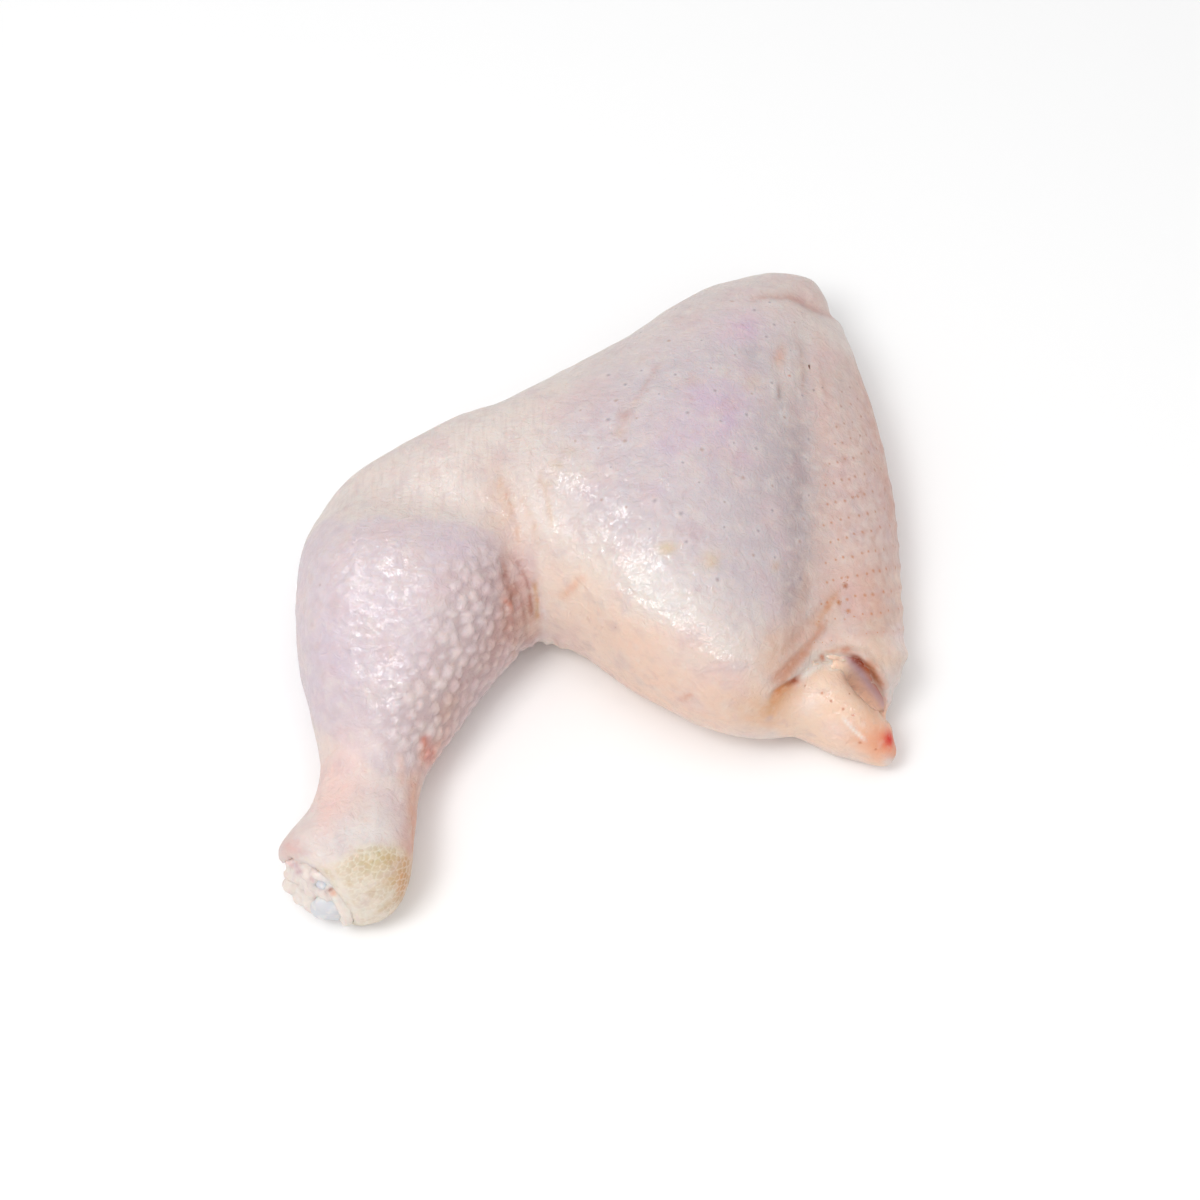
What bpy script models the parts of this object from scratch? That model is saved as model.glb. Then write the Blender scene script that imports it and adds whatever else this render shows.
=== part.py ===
"""Raw chicken leg quarter, skin on, lying skin side up with the knee bent.

Metres, +Z up. The leg rests on the plane z = 0. +X runs towards the back's cut side,
and -Y towards the hock. The origin is the bottom centre of the whole object's box.
"""

import math

import bmesh
import bpy
import numpy as np
from mathutils import Matrix, Vector

MM = 0.001

# The driving size is the drumstick from knee to hock. Every length below, except those
# in MM, is in a unit of which the drumstick measures 139.
DRUMSTICK_LENGTH = 125 * MM
UNIT = DRUMSTICK_LENGTH / 139

# Fineness of the flesh: the grid on which the muscles run together, how far the skin
# rounds their meeting lines and its folds, and the share of triangles kept.
FLESH_GRID = 1.4 * MM
SKIN_ROUNDING = 16
FOLD_ROUNDING = 2
TRIANGLES_KEPT = 0.14
MERGE_DISTANCE = 0.0001 * MM

# A limb's sections lie between a circle, 2, and a box. Its height shrinks with its width
# where it is narrower than this share of its greatest half width.
SECTION_SQUARENESS = 2.3
BLUNT_SHARE = 0.35
RING_COUNT = 72
SIDE_COUNT = 64

# Each limb is a row of sections across a straight line on the table. A row holds:
# distance along the line, sideways shift of the middle, half width, heights of the
# bottom, widest level and top, and sideways lean of the crown.
THIGH_START, THIGH_HEADING = (0, 0), 0
THIGH = (
    (-74.5, 11, 0, 5, 15, 24, 0),
    (-72.5, 12.5, 8, 2, 16, 33, 1),
    (-69, 15.3, 11.6, 0, 17, 38, 2),
    (-64.5, 17.7, 14.8, -1, 18, 41.5, 3),
    (-54.5, 20.2, 17.8, -3, 19, 46, 3),
    (-44.5, 22.7, 21.3, -3, 20, 48, 2),
    (-34.5, 24.7, 25.2, -3, 20, 48.5, 1),
    (-24.5, 26.5, 29.2, -3, 20, 48.5, -1),
    (-14.5, 28.2, 34.6, -3, 21, 49.5, -4),
    (-4.5, 28.9, 40.6, -3, 21, 51, -7),
    (5.5, 28, 48.3, -3, 21, 53, -11),
    (15.5, 29, 56.1, -3, 21, 54, -14),
    (25.5, 30.5, 62.7, -3, 20, 53, -15),
    (35.5, 32.3, 67, -3, 18, 48.5, -12),
    (45.5, 34.6, 68.6, -3, 16, 43.5, -6),
    (50.5, 36.3, 66.8, -3, 15, 40, -2),
    (55.5, 38.5, 62.5, -2, 14, 37.5, 0),
    (60.5, 36.8, 57.5, -2, 14, 35.5, 0),
    (65.5, 30.5, 53, -2, 13, 32, 0),
    (70.5, 20.5, 45.5, -1, 12, 27, 0),
    (74, 16.5, 34.5, 1, 11, 20, 0),
    (76, 14, 26, 4, 10, 15, 0),
    (77, 14, 0, 8, 9, 11, 0),
)
DRUMSTICK_START, DRUMSTICK_HEADING = (0, 0), -90
DRUMSTICK = (
    (-34, -48, 0, 12, 20, 24, 0),
    (-30, -48.5, 14, 4, 21, 34, 0),
    (-24.5, -49.5, 20, -1, 22, 38, 0),
    (-18.5, -47, 26, -3, 22, 43, 0),
    (-12.5, -45, 29.5, -3, 22, 47.5, -1),
    (-6, -44.6, 31.1, -3, 22, 51, -2),
    (0, -44.8, 30.9, -3, 22, 52, -2),
    (5, -45.9, 29.6, -3, 22, 51.5, -2),
    (10, -47.4, 27.6, -2, 21, 50, -2),
    (15, -49.1, 25.9, -1, 20, 48, -2),
    (20, -50.5, 23.5, 0, 19, 45, -2),
    (25, -51.7, 20.7, 1, 18, 41.5, -1),
    (30, -52.4, 18.5, 2, 17, 38, -1),
    (35, -53.5, 16.5, 3, 16, 34, 0),
    (40, -54.2, 14, 3.5, 15, 30, 0),
    (45, -55.5, 12.8, 4, 15, 27, 0),
    (50.5, -56.5, 12.5, 4, 14.5, 26, 0),
    (55.5, -57.3, 13.3, 2.5, 16, 26.5, 0),
    (61, -59.5, 14.6, 0.5, 18, 28, 0),
    (66.5, -61, 16.6, -0.5, 19, 29, 0),
    (71.5, -60.8, 15.8, -0.5, 18, 28.5, 0),
    (75.5, -60, 13.4, 0, 16, 26, 0),
    (79, -58.8, 9.6, 2, 13, 21, 0),
    (81.5, -57.5, 0, 7, 10, 13, 0),
)
TAIL_START, TAIL_HEADING = (44, -16.2), -37
TAIL = (
    (0, 0, 0, 8, 14, 20, 0),
    (5, 0, 7, 3, 14, 26, 0),
    (10, 0.4, 8.6, 0, 13, 27.5, -1),
    (15, 0.8, 8.6, -1, 12, 26.5, -1),
    (20, 0.9, 8.3, -1, 12, 24.5, -1),
    (26, 1.6, 7, 0, 11, 21, -1),
    (30, 1.5, 5.3, 1, 10, 18, 0),
    (34, 1, 3.7, 2, 9, 14.5, 0),
    (36, 0.8, 2.4, 4, 8.5, 12, 0),
    (37, 0.6, 0, 7, 8, 9, 0),
)
# The hood of skin at the near end of the back, whose rim overhangs the tail.
HOOD_START, HOOD_HEADING = (53, -10), -22
HOOD = (
    (-7, 0, 0, 14, 22, 25, 0),
    (0, -0.5, 6.5, 8, 22, 29, 0),
    (6, -1, 7.8, 6, 21, 29.5, 0),
    (12, 0, 7.6, 5, 20, 29, 0),
    (17, 0.3, 7, 5, 18, 27, 0),
    (21, 0, 5.8, 6, 16, 24, 0),
    (23.4, 0, 0, 8, 14, 17, 0),
)
# The loose roll of skin at the far corner of the thigh.
CORNER_START, CORNER_HEADING = (36, 95), -22
CORNER = (
    (0, 0, 0, 10, 12, 14, 0),
    (6, 0, 6.5, 3, 13, 21, 0),
    (14, 0.2, 8, 2, 13, 24.5, 0),
    (21, 1.4, 7.6, 2, 12, 23, 0),
    (26, 1.4, 5.8, 4, 11, 19, 0),
    (28.6, 1, 0, 8, 10, 13, 0),
)

# Folds pressed into the skin seen from above: depth, half width and path. They fade at
# their ends over a share of their length, and on skin that faces sideways.
FOLDS = {
    "groin": (1.8, 4.5, ((-25, 3.5), (-19.5, 1.2), (-15.4, -3.9), (-13.5, -7.5), (-15, -11))),
    "knee": (0.4, 4, ((-70, 12), (-60, 7.5), (-50, 5.8), (-41, 5.6), (-29, 4.4))),
    "back valley": (
        0.8, 7,
        ((51.6, 78), (51.6, 52), (51.4, 34), (50.2, 16), (49, 1.5), (45.8, -20)),
    ),
    "tail root": (
        2.1, 2.8,
        ((39, -35), (42.6, -32.2), (45.6, -29.7), (49.6, -25.6), (52.5, -22.4), (56, -19.5)),
    ),
    "hood rim": (
        3.2, 1.6,
        ((51.5, -22.5), (54.5, -20.6), (58, -20), (61, -20.2), (64, -21.8), (67, -24.4)),
    ),
    "far corner": (
        2.2, 2.8,
        ((47, 88.6), (51.3, 88.2), (54.3, 86.8), (57.4, 84.6), (60.5, 82.3), (66, 79)),
    ),
}
FOLD_TAPER = 0.25
SIDEWAYS_SKIN = 0.2

# The cut through the hock joint: a point on it, the way it faces and its lean. To one
# side it ends at the scaly skin, whose edge slants across the joint.
HOCK_CUT_POINT = (-69.2, -72.9, 14)
HOCK_CUT_FACING = -120.5
HOCK_CUT_LEAN = 4
HOCK_CUT_END = 10.5
HOCK_CUT_SLANT = 24
CUTTER_SIZE = 60
TABLE_SIZE = 240

# The pad of white tissue inside the sleeve of skin at the hock cut: its middle as
# outwards, sideways and up from the cut's point, and its half sizes the same way.
TISSUE_MIDDLE = (-2.8, 0.4, -0.7)
TISSUE_HALF = (4.2, 8.5, 10)

# The knuckle of gristle in it: heads as outwards, sideways, up, and radius.
KNUCKLE_HEADS = ((-2, 5.6, -6.4, 5.2), (-3.6, 4.8, -0.8, 3.6), (-1.4, 3.4, 4, 3))
KNUCKLE_GRID = 1.1 * MM
KNUCKLE_ROUNDING = 3
BALL_SIDES, BALL_RINGS = 24, 16

# The strip of bare flesh in the slit between the back's skin and the tail, and how
# much wider and taller the slit is.
SLIT_START, SLIT_HEADING = (60.6, -18.6), -41
STRIP = (
    (0, 0, 0, 13, 17, 20, 0),
    (2.5, 0, 2.4, 11, 16, 25, 0),
    (6, 0, 2.8, 10, 15, 24, 0),
    (9, 0, 2.5, 9, 14, 21.5, 0),
    (11.5, 0, 1.7, 9, 12, 18, 0),
    (13, 0, 0, 10, 11, 13, 0),
)
SLIT_EXTRA_WIDTH = 0.45
SLIT_EXTRA_HEIGHT = 16
STRIP_SIDES, STRIP_RINGS = 16, 12

# The room that one piece leaves round another.
PIECE_GAP = 0.35 * MM / UNIT


def clear_scene():
    """Empties the scene, so that the model stands alone."""
    for old in list(bpy.data.objects):
        bpy.data.objects.remove(old)


def new_collection(name):
    """A collection of the scene."""
    collection = bpy.data.collections.new(name)
    bpy.context.scene.collection.children.link(collection)
    return collection


def new_material(name, colour, roughness):
    """A plain surface in the colour of one kind of flesh."""
    material = bpy.data.materials.new(name)
    material.use_nodes = True
    shader = material.node_tree.nodes["Principled BSDF"]
    shader.inputs["Base Color"].default_value = (*colour, 1)
    shader.inputs["Roughness"].default_value = roughness
    shader.inputs["Metallic"].default_value = 0
    return material


def new_part(name, mesh, collection, material):
    """A piece of the object."""
    obj = bpy.data.objects.new(name, mesh)
    collection.objects.link(obj)
    mesh.materials.append(material)
    return obj


def new_cutter(name, mesh, collection):
    """A shape that is only taken out of others."""
    obj = bpy.data.objects.new(name, mesh)
    collection.objects.link(obj)
    obj.hide_render = True
    obj.display_type = "WIRE"
    return obj


def as_mesh(bm):
    """Keeps a bmesh as a mesh."""
    mesh = bpy.data.meshes.new("shape")
    bm.to_mesh(mesh)
    bm.free()
    return mesh


def steady_slopes(places, values):
    """Slopes for a curve through the values that never swings past them."""
    steps = np.diff(places)
    rises = np.diff(values) / steps
    slopes = np.zeros(len(values))
    slopes[0], slopes[-1] = rises[0], rises[-1]
    for i in range(1, len(values) - 1):
        if rises[i - 1] * rises[i] > 0:
            slopes[i] = 2 / (1 / rises[i - 1] + 1 / rises[i])
    return slopes


def smooth_curve(at, places, values):
    """Reads a smooth curve through the values, at the places asked for."""
    slopes = steady_slopes(places, values)
    i = np.clip(np.searchsorted(places, at, side="right") - 1, 0, len(places) - 2)
    width = places[i + 1] - places[i]
    t = (at - places[i]) / width
    return (
        values[i] * (2 * t**3 - 3 * t**2 + 1)
        + slopes[i] * width * (t**3 - 2 * t**2 + t)
        + values[i + 1] * (3 * t**2 - 2 * t**3)
        + slopes[i + 1] * width * (t**3 - t**2)
    )


def superellipse(angles):
    """Sideways and upward shares of a rounded section at these angles."""
    power = 2 / SECTION_SQUARENESS
    side, rise = np.cos(angles), np.sin(angles)
    return np.sign(side) * np.abs(side) ** power, np.sign(rise) * np.abs(rise) ** power


def limb(start, heading, rows, sides=SIDE_COUNT, rings=RING_COUNT, wider=0, taller=0):
    """A ball drawn out along a line, with its rings set to the rows' sections."""
    bm = bmesh.new()
    bmesh.ops.create_uvsphere(bm, u_segments=sides, v_segments=rings, radius=1)
    places = np.array([v.co for v in bm.verts])
    along, shift, half, bottom, level, top, lean = np.array(rows, float).T
    share = (1 - places[:, 2]) / 2
    at = along[0] + (along[-1] - along[0]) * share
    side, rise = superellipse(np.arctan2(places[:, 1], places[:, 0]))
    # The squares of the widths are what is smoothed, which rounds the blunt ends.
    width = np.sqrt(np.maximum(smooth_curve(at, along, half**2), 0))
    fullness = np.sqrt(np.minimum(1, width / (BLUNT_SHARE * half.max())))
    middle = smooth_curve(at, along, level)
    above = (smooth_curve(at, along, top) - middle) * fullness + taller
    below = (middle - smooth_curve(at, along, bottom)) * fullness + wider
    crown = smooth_curve(at, along, lean) * np.maximum(rise, 0) ** 2
    across = smooth_curve(at, along, shift) + (width + wider) * side + crown
    height = middle + rise * np.where(rise > 0, above, below)
    reach = at - wider * places[:, 2]
    turn = math.radians(heading)
    x = start[0] + reach * math.cos(turn) - across * math.sin(turn)
    y = start[1] + reach * math.sin(turn) + across * math.cos(turn)
    for vert, place in zip(bm.verts, np.stack([x, y, height], axis=1) * UNIT):
        vert.co = place
    bmesh.ops.remove_doubles(bm, verts=bm.verts, dist=MERGE_DISTANCE)
    bmesh.ops.recalc_face_normals(bm, faces=bm.faces)
    return as_mesh(bm)


def joined(meshes):
    """One mesh of several closed shells."""
    bm = bmesh.new()
    for mesh in meshes:
        bm.from_mesh(mesh)
    return as_mesh(bm)


def evaluated_copy(mesh, set_modifiers):
    """A mesh as it comes out of the modifiers that a function sets on it."""
    obj = bpy.data.objects.new("worked", mesh)
    bpy.context.scene.collection.objects.link(obj)
    set_modifiers(obj)
    evaluated = obj.evaluated_get(bpy.context.evaluated_depsgraph_get())
    result = bpy.data.meshes.new_from_object(evaluated)
    bpy.data.objects.remove(obj)
    return result


def smoothed(mesh, rounds):
    """The mesh with its surface eased this many times."""

    def set_modifiers(obj):
        smooth = obj.modifiers.new("ease", "SMOOTH")
        smooth.factor = 0.5
        smooth.iterations = rounds

    return evaluated_copy(mesh, set_modifiers)


def run_together(mesh, grid):
    """Joins a mesh's shells under one skin, by a voxel grid."""

    def set_modifiers(obj):
        remesh = obj.modifiers.new("one skin", "REMESH")
        remesh.mode = "VOXEL"
        remesh.voxel_size = grid

    return evaluated_copy(mesh, set_modifiers)


def distance_along(points, path):
    """How far points on the table are from a path, and their share of its length."""
    path = np.array(path, float)
    steps = path[1:] - path[:-1]
    lengths = np.linalg.norm(steps, axis=1)
    run = np.concatenate([[0], np.cumsum(lengths)])
    nearest = np.full(len(points), np.inf)
    share = np.zeros(len(points))
    for start, step, length, before in zip(path, steps, lengths, run):
        t = np.clip((points - start) @ step / length**2, 0, 1)
        gap = np.linalg.norm(points - start - t[:, None] * step, axis=1)
        closer = gap < nearest
        nearest[closer] = gap[closer]
        share[closer] = ((before + t * length) / run[-1])[closer]
    return nearest, share


def press_folds(mesh):
    """Presses the named folds into the upper side of the skin."""
    places = np.array([v.co for v in mesh.vertices]) / UNIT
    normals = np.array([v.vector for v in mesh.vertex_normals])
    facing_up = np.clip(normals[:, 2] + SIDEWAYS_SKIN, 0, 1)
    for depth, half_width, path in FOLDS.values():
        gap, share = distance_along(places[:, :2], path)
        taper = np.clip(np.minimum(share, 1 - share) / FOLD_TAPER, 0, 1)
        press = depth * np.exp(-((gap / half_width) ** 2)) * taper * facing_up
        places -= normals * press[:, None]
    for vert, place in zip(mesh.vertices, places * UNIT):
        vert.co = place


def flesh():
    """The thigh, drumstick, tail, hood and corner roll under one skin, with its folds."""
    limbs = [
        limb(THIGH_START, THIGH_HEADING, THIGH),
        limb(DRUMSTICK_START, DRUMSTICK_HEADING, DRUMSTICK),
        limb(TAIL_START, TAIL_HEADING, TAIL),
        limb(HOOD_START, HOOD_HEADING, HOOD),
        limb(CORNER_START, CORNER_HEADING, CORNER),
    ]
    mesh = smoothed(run_together(joined(limbs), FLESH_GRID), SKIN_ROUNDING)
    press_folds(mesh)
    return smoothed(mesh, FOLD_ROUNDING)


def hock_place(out, side, up):
    """A place given outwards, sideways and up from the hock cut."""
    turn = Matrix.Rotation(math.radians(HOCK_CUT_FACING), 3, "Z")
    return (Vector(HOCK_CUT_POINT) + turn @ Vector((out, side, up))) * UNIT


def ball(middle, half, turn=0):
    """A ball drawn out to these half sizes, turned about the vertical."""
    bm = bmesh.new()
    bmesh.ops.create_uvsphere(bm, u_segments=BALL_SIDES, v_segments=BALL_RINGS, radius=1)
    bmesh.ops.scale(bm, verts=bm.verts, vec=Vector(half) * UNIT)
    bmesh.ops.rotate(bm, verts=bm.verts, matrix=Matrix.Rotation(math.radians(turn), 3, "Z"))
    bmesh.ops.translate(bm, verts=bm.verts, vec=middle)
    return as_mesh(bm)


def block(size):
    """A cube about the origin."""
    bm = bmesh.new()
    bmesh.ops.create_cube(bm, size=size * UNIT)
    return as_mesh(bm)


def knuckle(grow=0):
    """The heads of gristle run together, grown by a gap where they are a socket."""
    heads = [
        ball(hock_place(out, side, up), [radius + grow] * 3)
        for out, side, up, radius in KNUCKLE_HEADS
    ]
    return smoothed(run_together(joined(heads), KNUCKLE_GRID), KNUCKLE_ROUNDING)


def tissue(grow=0):
    """The pad of white tissue, grown by a gap where it is a socket."""
    half = [size + grow for size in TISSUE_HALF]
    return ball(hock_place(*TISSUE_MIDDLE), half, HOCK_CUT_FACING)


def strip(wider=0, taller=0):
    """The strip of bare flesh, wider and taller where it is a slit."""
    return limb(SLIT_START, SLIT_HEADING, STRIP, STRIP_SIDES, STRIP_RINGS, wider, taller)


def hock_block():
    """A block with one face on the plane of the hock cut, and one at its slanting end."""
    mesh = block(CUTTER_SIZE)
    half = CUTTER_SIZE / 2 * UNIT
    slant = Matrix.Rotation(math.radians(HOCK_CUT_SLANT), 4, "X")
    shift = Matrix.Translation((half, HOCK_CUT_END * UNIT - half, 0))
    lean = Matrix.Rotation(-math.radians(HOCK_CUT_LEAN), 4, "Y")
    turn = Matrix.Rotation(math.radians(HOCK_CUT_FACING), 4, "Z")
    mesh.transform(Matrix.Translation(hock_place(0, 0, 0)) @ turn @ lean @ slant @ shift)
    return mesh


def table_block():
    """A block whose top is the table, wider than the leg."""
    mesh = block(TABLE_SIZE)
    mesh.transform(Matrix.Translation((0, 0, -TABLE_SIZE / 2 * UNIT)))
    return mesh


def cut(obj, cutter):
    """Takes the cutter's shape out of the object."""
    boolean = obj.modifiers.new(cutter.name, "BOOLEAN")
    boolean.operation = "DIFFERENCE"
    boolean.solver = "EXACT"
    boolean.object = cutter


def centre(objects):
    """Moves everything so that the box's bottom centre is the origin."""
    bpy.context.view_layer.update()
    graph = bpy.context.evaluated_depsgraph_get()
    parts = [obj.evaluated_get(graph) for obj in objects if not obj.hide_render]
    places = np.array([obj.matrix_world @ v.co for obj in parts for v in obj.data.vertices])
    low, high = places.min(axis=0), places.max(axis=0)
    middle = Vector(((low[0] + high[0]) / 2, (low[1] + high[1]) / 2, low[2]))
    for obj in objects:
        obj.location -= middle


def main():
    clear_scene()
    parts = new_collection("raw_chicken_leg_quarter")
    cutters = new_collection("cutters")
    skin = new_material("wet skin", (0.72, 0.60, 0.56), 0.35)
    white = new_material("white tissue", (0.80, 0.70, 0.66), 0.40)
    gristle = new_material("gristle", (0.66, 0.66, 0.70), 0.30)
    bare = new_material("bare flesh", (0.45, 0.28, 0.28), 0.40)

    table = new_cutter("table", table_block(), cutters)
    hock_plane = new_cutter("hock cut", hock_block(), cutters)
    tissue_seat = new_cutter("tissue seat", tissue(PIECE_GAP), cutters)
    knuckle_seat = new_cutter("knuckle seat", knuckle(PIECE_GAP), cutters)
    slit = new_cutter("slit", strip(SLIT_EXTRA_WIDTH, SLIT_EXTRA_HEIGHT), cutters)

    leg = new_part("leg_quarter", flesh(), parts, skin)
    thin_out = leg.modifiers.new("fewer triangles", "DECIMATE")
    thin_out.ratio = TRIANGLES_KEPT
    for cutter in (table, hock_plane, tissue_seat, knuckle_seat, slit):
        cut(leg, cutter)

    pad = new_part("hock_tissue", tissue(), parts, white)
    cut(pad, knuckle_seat)
    new_part("hock_cartilage", knuckle(), parts, gristle)
    new_part("slit_flesh", strip(), parts, bare)
    centre(list(parts.objects) + list(cutters.objects))


main()
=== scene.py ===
# %% [markdown]
# # A raw chicken leg quarter
# The leg lies skin side up: a thigh with a strip of the back and the tail, and a
# drumstick bent at the knee and cut through at the hock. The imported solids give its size
# and its forms. This lesson puts real skin on them: goosebumps, creases, pores, rows of
# feather holes, the scaly hock and the wet shine.

import math
import random

import bmesh
import bpy
import numpy as np
from mathutils import Matrix, Vector, noise
from mathutils.bvhtree import BVHTree
from mathutils.kdtree import KDTree


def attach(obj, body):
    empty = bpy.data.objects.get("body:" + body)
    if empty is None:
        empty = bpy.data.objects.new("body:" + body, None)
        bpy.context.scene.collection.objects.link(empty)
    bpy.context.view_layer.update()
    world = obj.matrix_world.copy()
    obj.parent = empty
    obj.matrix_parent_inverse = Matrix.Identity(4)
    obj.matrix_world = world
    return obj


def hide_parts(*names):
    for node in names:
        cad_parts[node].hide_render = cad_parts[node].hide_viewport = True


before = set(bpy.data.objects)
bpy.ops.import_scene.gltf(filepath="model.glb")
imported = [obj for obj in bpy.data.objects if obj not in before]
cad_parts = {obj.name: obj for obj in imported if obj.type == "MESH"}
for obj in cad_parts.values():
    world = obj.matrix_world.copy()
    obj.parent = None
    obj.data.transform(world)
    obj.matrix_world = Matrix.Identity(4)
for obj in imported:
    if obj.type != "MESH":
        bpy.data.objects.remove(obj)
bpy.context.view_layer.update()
MM = 0.001


# %% [markdown]
# ## The camera, and places in the picture
# The camera looks down on the leg at 60 degrees with a long lens, as the photographer's
# did. Many details of skin are easiest to place where the picture shows them, so two
# helpers go between the picture, taken as 1200 pixels wide, and the leg: one says where a
# point of the leg shows, and the other finds the skin behind a pixel.

# %% Camera
PICTURE = 1200
LENS = 85
SENSOR = 36
VIEW_ELEVATION = math.radians(60)
VIEW_DISTANCE = 636.7 * MM
VIEW_TARGET = Vector((0, -7.9, 18)) * MM
FOCAL_PIXELS = LENS / SENSOR * PICTURE

to_eye = Vector((0, -math.cos(VIEW_ELEVATION), math.sin(VIEW_ELEVATION)))
picture_up = Vector((0, math.sin(VIEW_ELEVATION), math.cos(VIEW_ELEVATION)))
picture_right = Vector((1, 0, 0))
eye = VIEW_TARGET + to_eye * VIEW_DISTANCE


def put_in_scene(name, data):
    """A new object of the scene that shows this mesh, lamp or camera."""
    obj = bpy.data.objects.new(name, data)
    bpy.context.scene.collection.objects.link(obj)
    return obj


camera_data = bpy.data.cameras.new("camera")
camera_data.lens = LENS
camera_data.sensor_width = SENSOR
camera = put_in_scene("camera", camera_data)
camera.location = eye
camera.rotation_euler = (math.radians(90) - VIEW_ELEVATION, 0, 0)
bpy.context.scene.camera = camera
print("camera at mm:", [round(c / MM) for c in eye])


# %% Places in the picture
def seen_at(points):
    """The picture's columns and rows where these points of the leg show."""
    reach = points - np.array(eye)
    depth = -(reach @ np.array(to_eye))
    across = PICTURE / 2 + FOCAL_PIXELS * (reach @ np.array(picture_right)) / depth
    down = PICTURE / 2 - FOCAL_PIXELS * (reach @ np.array(picture_up)) / depth
    return np.stack([across, down], axis=1)


def behind_pixel(tree, pixel):
    """The first place on a surface behind a pixel, and the way that it faces there."""
    across = (pixel[0] - PICTURE / 2) / FOCAL_PIXELS
    down = (PICTURE / 2 - pixel[1]) / FOCAL_PIXELS
    ray = -to_eye + picture_right * across + picture_up * down
    place, normal, _, _ = tree.ray_cast(eye, ray.normalized())
    return place, normal


print("the point that the camera looks at shows at", seen_at(np.array([VIEW_TARGET]))[0].round())

# %% [markdown]
# ## Soft shapes to paint with
# Colour and relief on skin have no hard edges. Three helpers give a share from 0 to 1 for
# every point of the skin: a spot, a line and an area with soft borders, all drawn in
# pixels of the picture. The values go into the mesh, so they belong to the leg and look
# the same from any side.


# %% Spots
def ramp(value, low, high):
    """A smooth step from 0 at low to 1 at high."""
    t = np.clip((value - low) / (high - low), 0, 1)
    return t * t * (3 - 2 * t)


def spot(seen, middle, half, turn=0):
    """A soft oval, with its half sizes and its turn in degrees."""
    away = seen - np.array(middle, float)
    c, s = math.cos(math.radians(turn)), math.sin(math.radians(turn))
    along = away[:, 0] * c + away[:, 1] * s
    across = away[:, 1] * c - away[:, 0] * s
    return np.exp(-((along / half[0]) ** 2) - (across / half[1]) ** 2)


print("a spot's share at its edge:", spot(np.array([[10.0, 0]]), (0, 0), (10, 10)).round(2))


# %% Lines
def from_line(seen, path):
    """How far each place is from a drawn line, and its share of the line's length."""
    path = np.array(path, float)
    steps = np.diff(path, axis=0)
    lengths = np.linalg.norm(steps, axis=1)
    run = np.concatenate([[0], np.cumsum(lengths)])
    nearest = np.full(len(seen), np.inf)
    share = np.zeros(len(seen))
    for start, step, length, before in zip(path, steps, lengths, run):
        t = np.clip((seen - start) @ step / length**2, 0, 1)
        gap = np.linalg.norm(seen - start - t[:, None] * step, axis=1)
        closer = gap < nearest
        nearest[closer] = gap[closer]
        share[closer] = ((before + t * length) / run[-1])[closer]
    return nearest, share


LINE_FADE = 0.2


def faded(share):
    """1 along a line, falling to 0 at both of its ends."""
    return np.clip(np.minimum(share, 1 - share) / LINE_FADE, 0, 1)


def line(seen, path, half_width):
    """A soft line that fades at both ends."""
    gap, share = from_line(seen, path)
    return np.exp(-((gap / half_width) ** 2)) * faded(share)


print("a line's share at its start:", line(np.array([[0.0, 0]]), ((0, 0), (10, 0)), 2))


# %% Areas, and noise
def area(seen, outline, soft):
    """The inside of a closed outline, with a soft border."""
    closed = list(outline) + [outline[0]]
    gap, _ = from_line(seen, closed)
    inside = np.zeros(len(seen), bool)
    for (x0, y0), (x1, y1) in zip(closed[:-1], closed[1:]):
        crosses = (y0 > seen[:, 1]) != (y1 > seen[:, 1])
        at = x0 + (seen[:, 1] - y0) * (x1 - x0) / (y1 - y0 if y1 != y0 else 1)
        inside ^= crosses & (seen[:, 0] < at)
    return ramp(np.where(inside, gap, -gap), -soft, soft)


SEED_SHIFT = (7.3, 3.1, 5.7)


def bands_of_noise(points, size, seed):
    """Smooth noise from -1 to 1 whose lumps are about this size."""
    shift = Vector([seed * step for step in SEED_SHIFT])
    return np.array([noise.noise(Vector(p) / size + shift) for p in points])


SQUARE = ((0, 0), (10, 0), (10, 10), (0, 10))
print("a square's share on its border:", area(np.array([[0.0, 5]]), SQUARE, 2))

# %% [markdown]
# ## The skin's surface
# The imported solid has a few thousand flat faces. A merged copy of it is put on an even
# grid with a voxel remesh and eased, which rounds its facets as skin rounds over fat. The
# edges of the slit and of the hock cut are eased less. Where the skin has fine relief, on
# the drumstick, the back, the tail and the hock, its faces are then divided.

# %% Even grid
SKIN_GRID = 1.25 * MM
MERGE_DISTANCE = 0.01 * MM


def merged_copy(node):
    """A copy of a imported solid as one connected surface."""
    bm = bmesh.new()
    bm.from_mesh(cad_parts[node].data)
    bmesh.ops.remove_doubles(bm, verts=bm.verts, dist=MERGE_DISTANCE)
    return bm


def evenly(bm, grid):
    """The same surface on an even grid of square faces."""
    mesh = bpy.data.meshes.new("worked")
    bm.to_mesh(mesh)
    obj = put_in_scene("worked", mesh)
    remesh = obj.modifiers.new("grid", "REMESH")
    remesh.mode = "VOXEL"
    remesh.voxel_size = grid
    evaluated = obj.evaluated_get(bpy.context.evaluated_depsgraph_get())
    result = bpy.data.meshes.new_from_object(evaluated)
    bpy.data.objects.remove(obj)
    bm.clear()
    bm.from_mesh(result)
    return bm


skin_bm = evenly(merged_copy("leg_quarter"), SKIN_GRID)
print("skin on an even grid:", len(skin_bm.faces), "faces")

# %% Ease the skin
SLIT_LINE = ((812, 655), (835, 655), (857, 660), (870, 672), (880, 690), (886, 706))
HOCK_CUT_LINE = ((283, 850), (305, 860), (332, 868), (343, 888), (352, 905), (358, 920))
SHARP_REACH = 11
ROUNDS_ALL_OVER, ROUNDS_AWAY_FROM_CUTS = 3, 12


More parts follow.
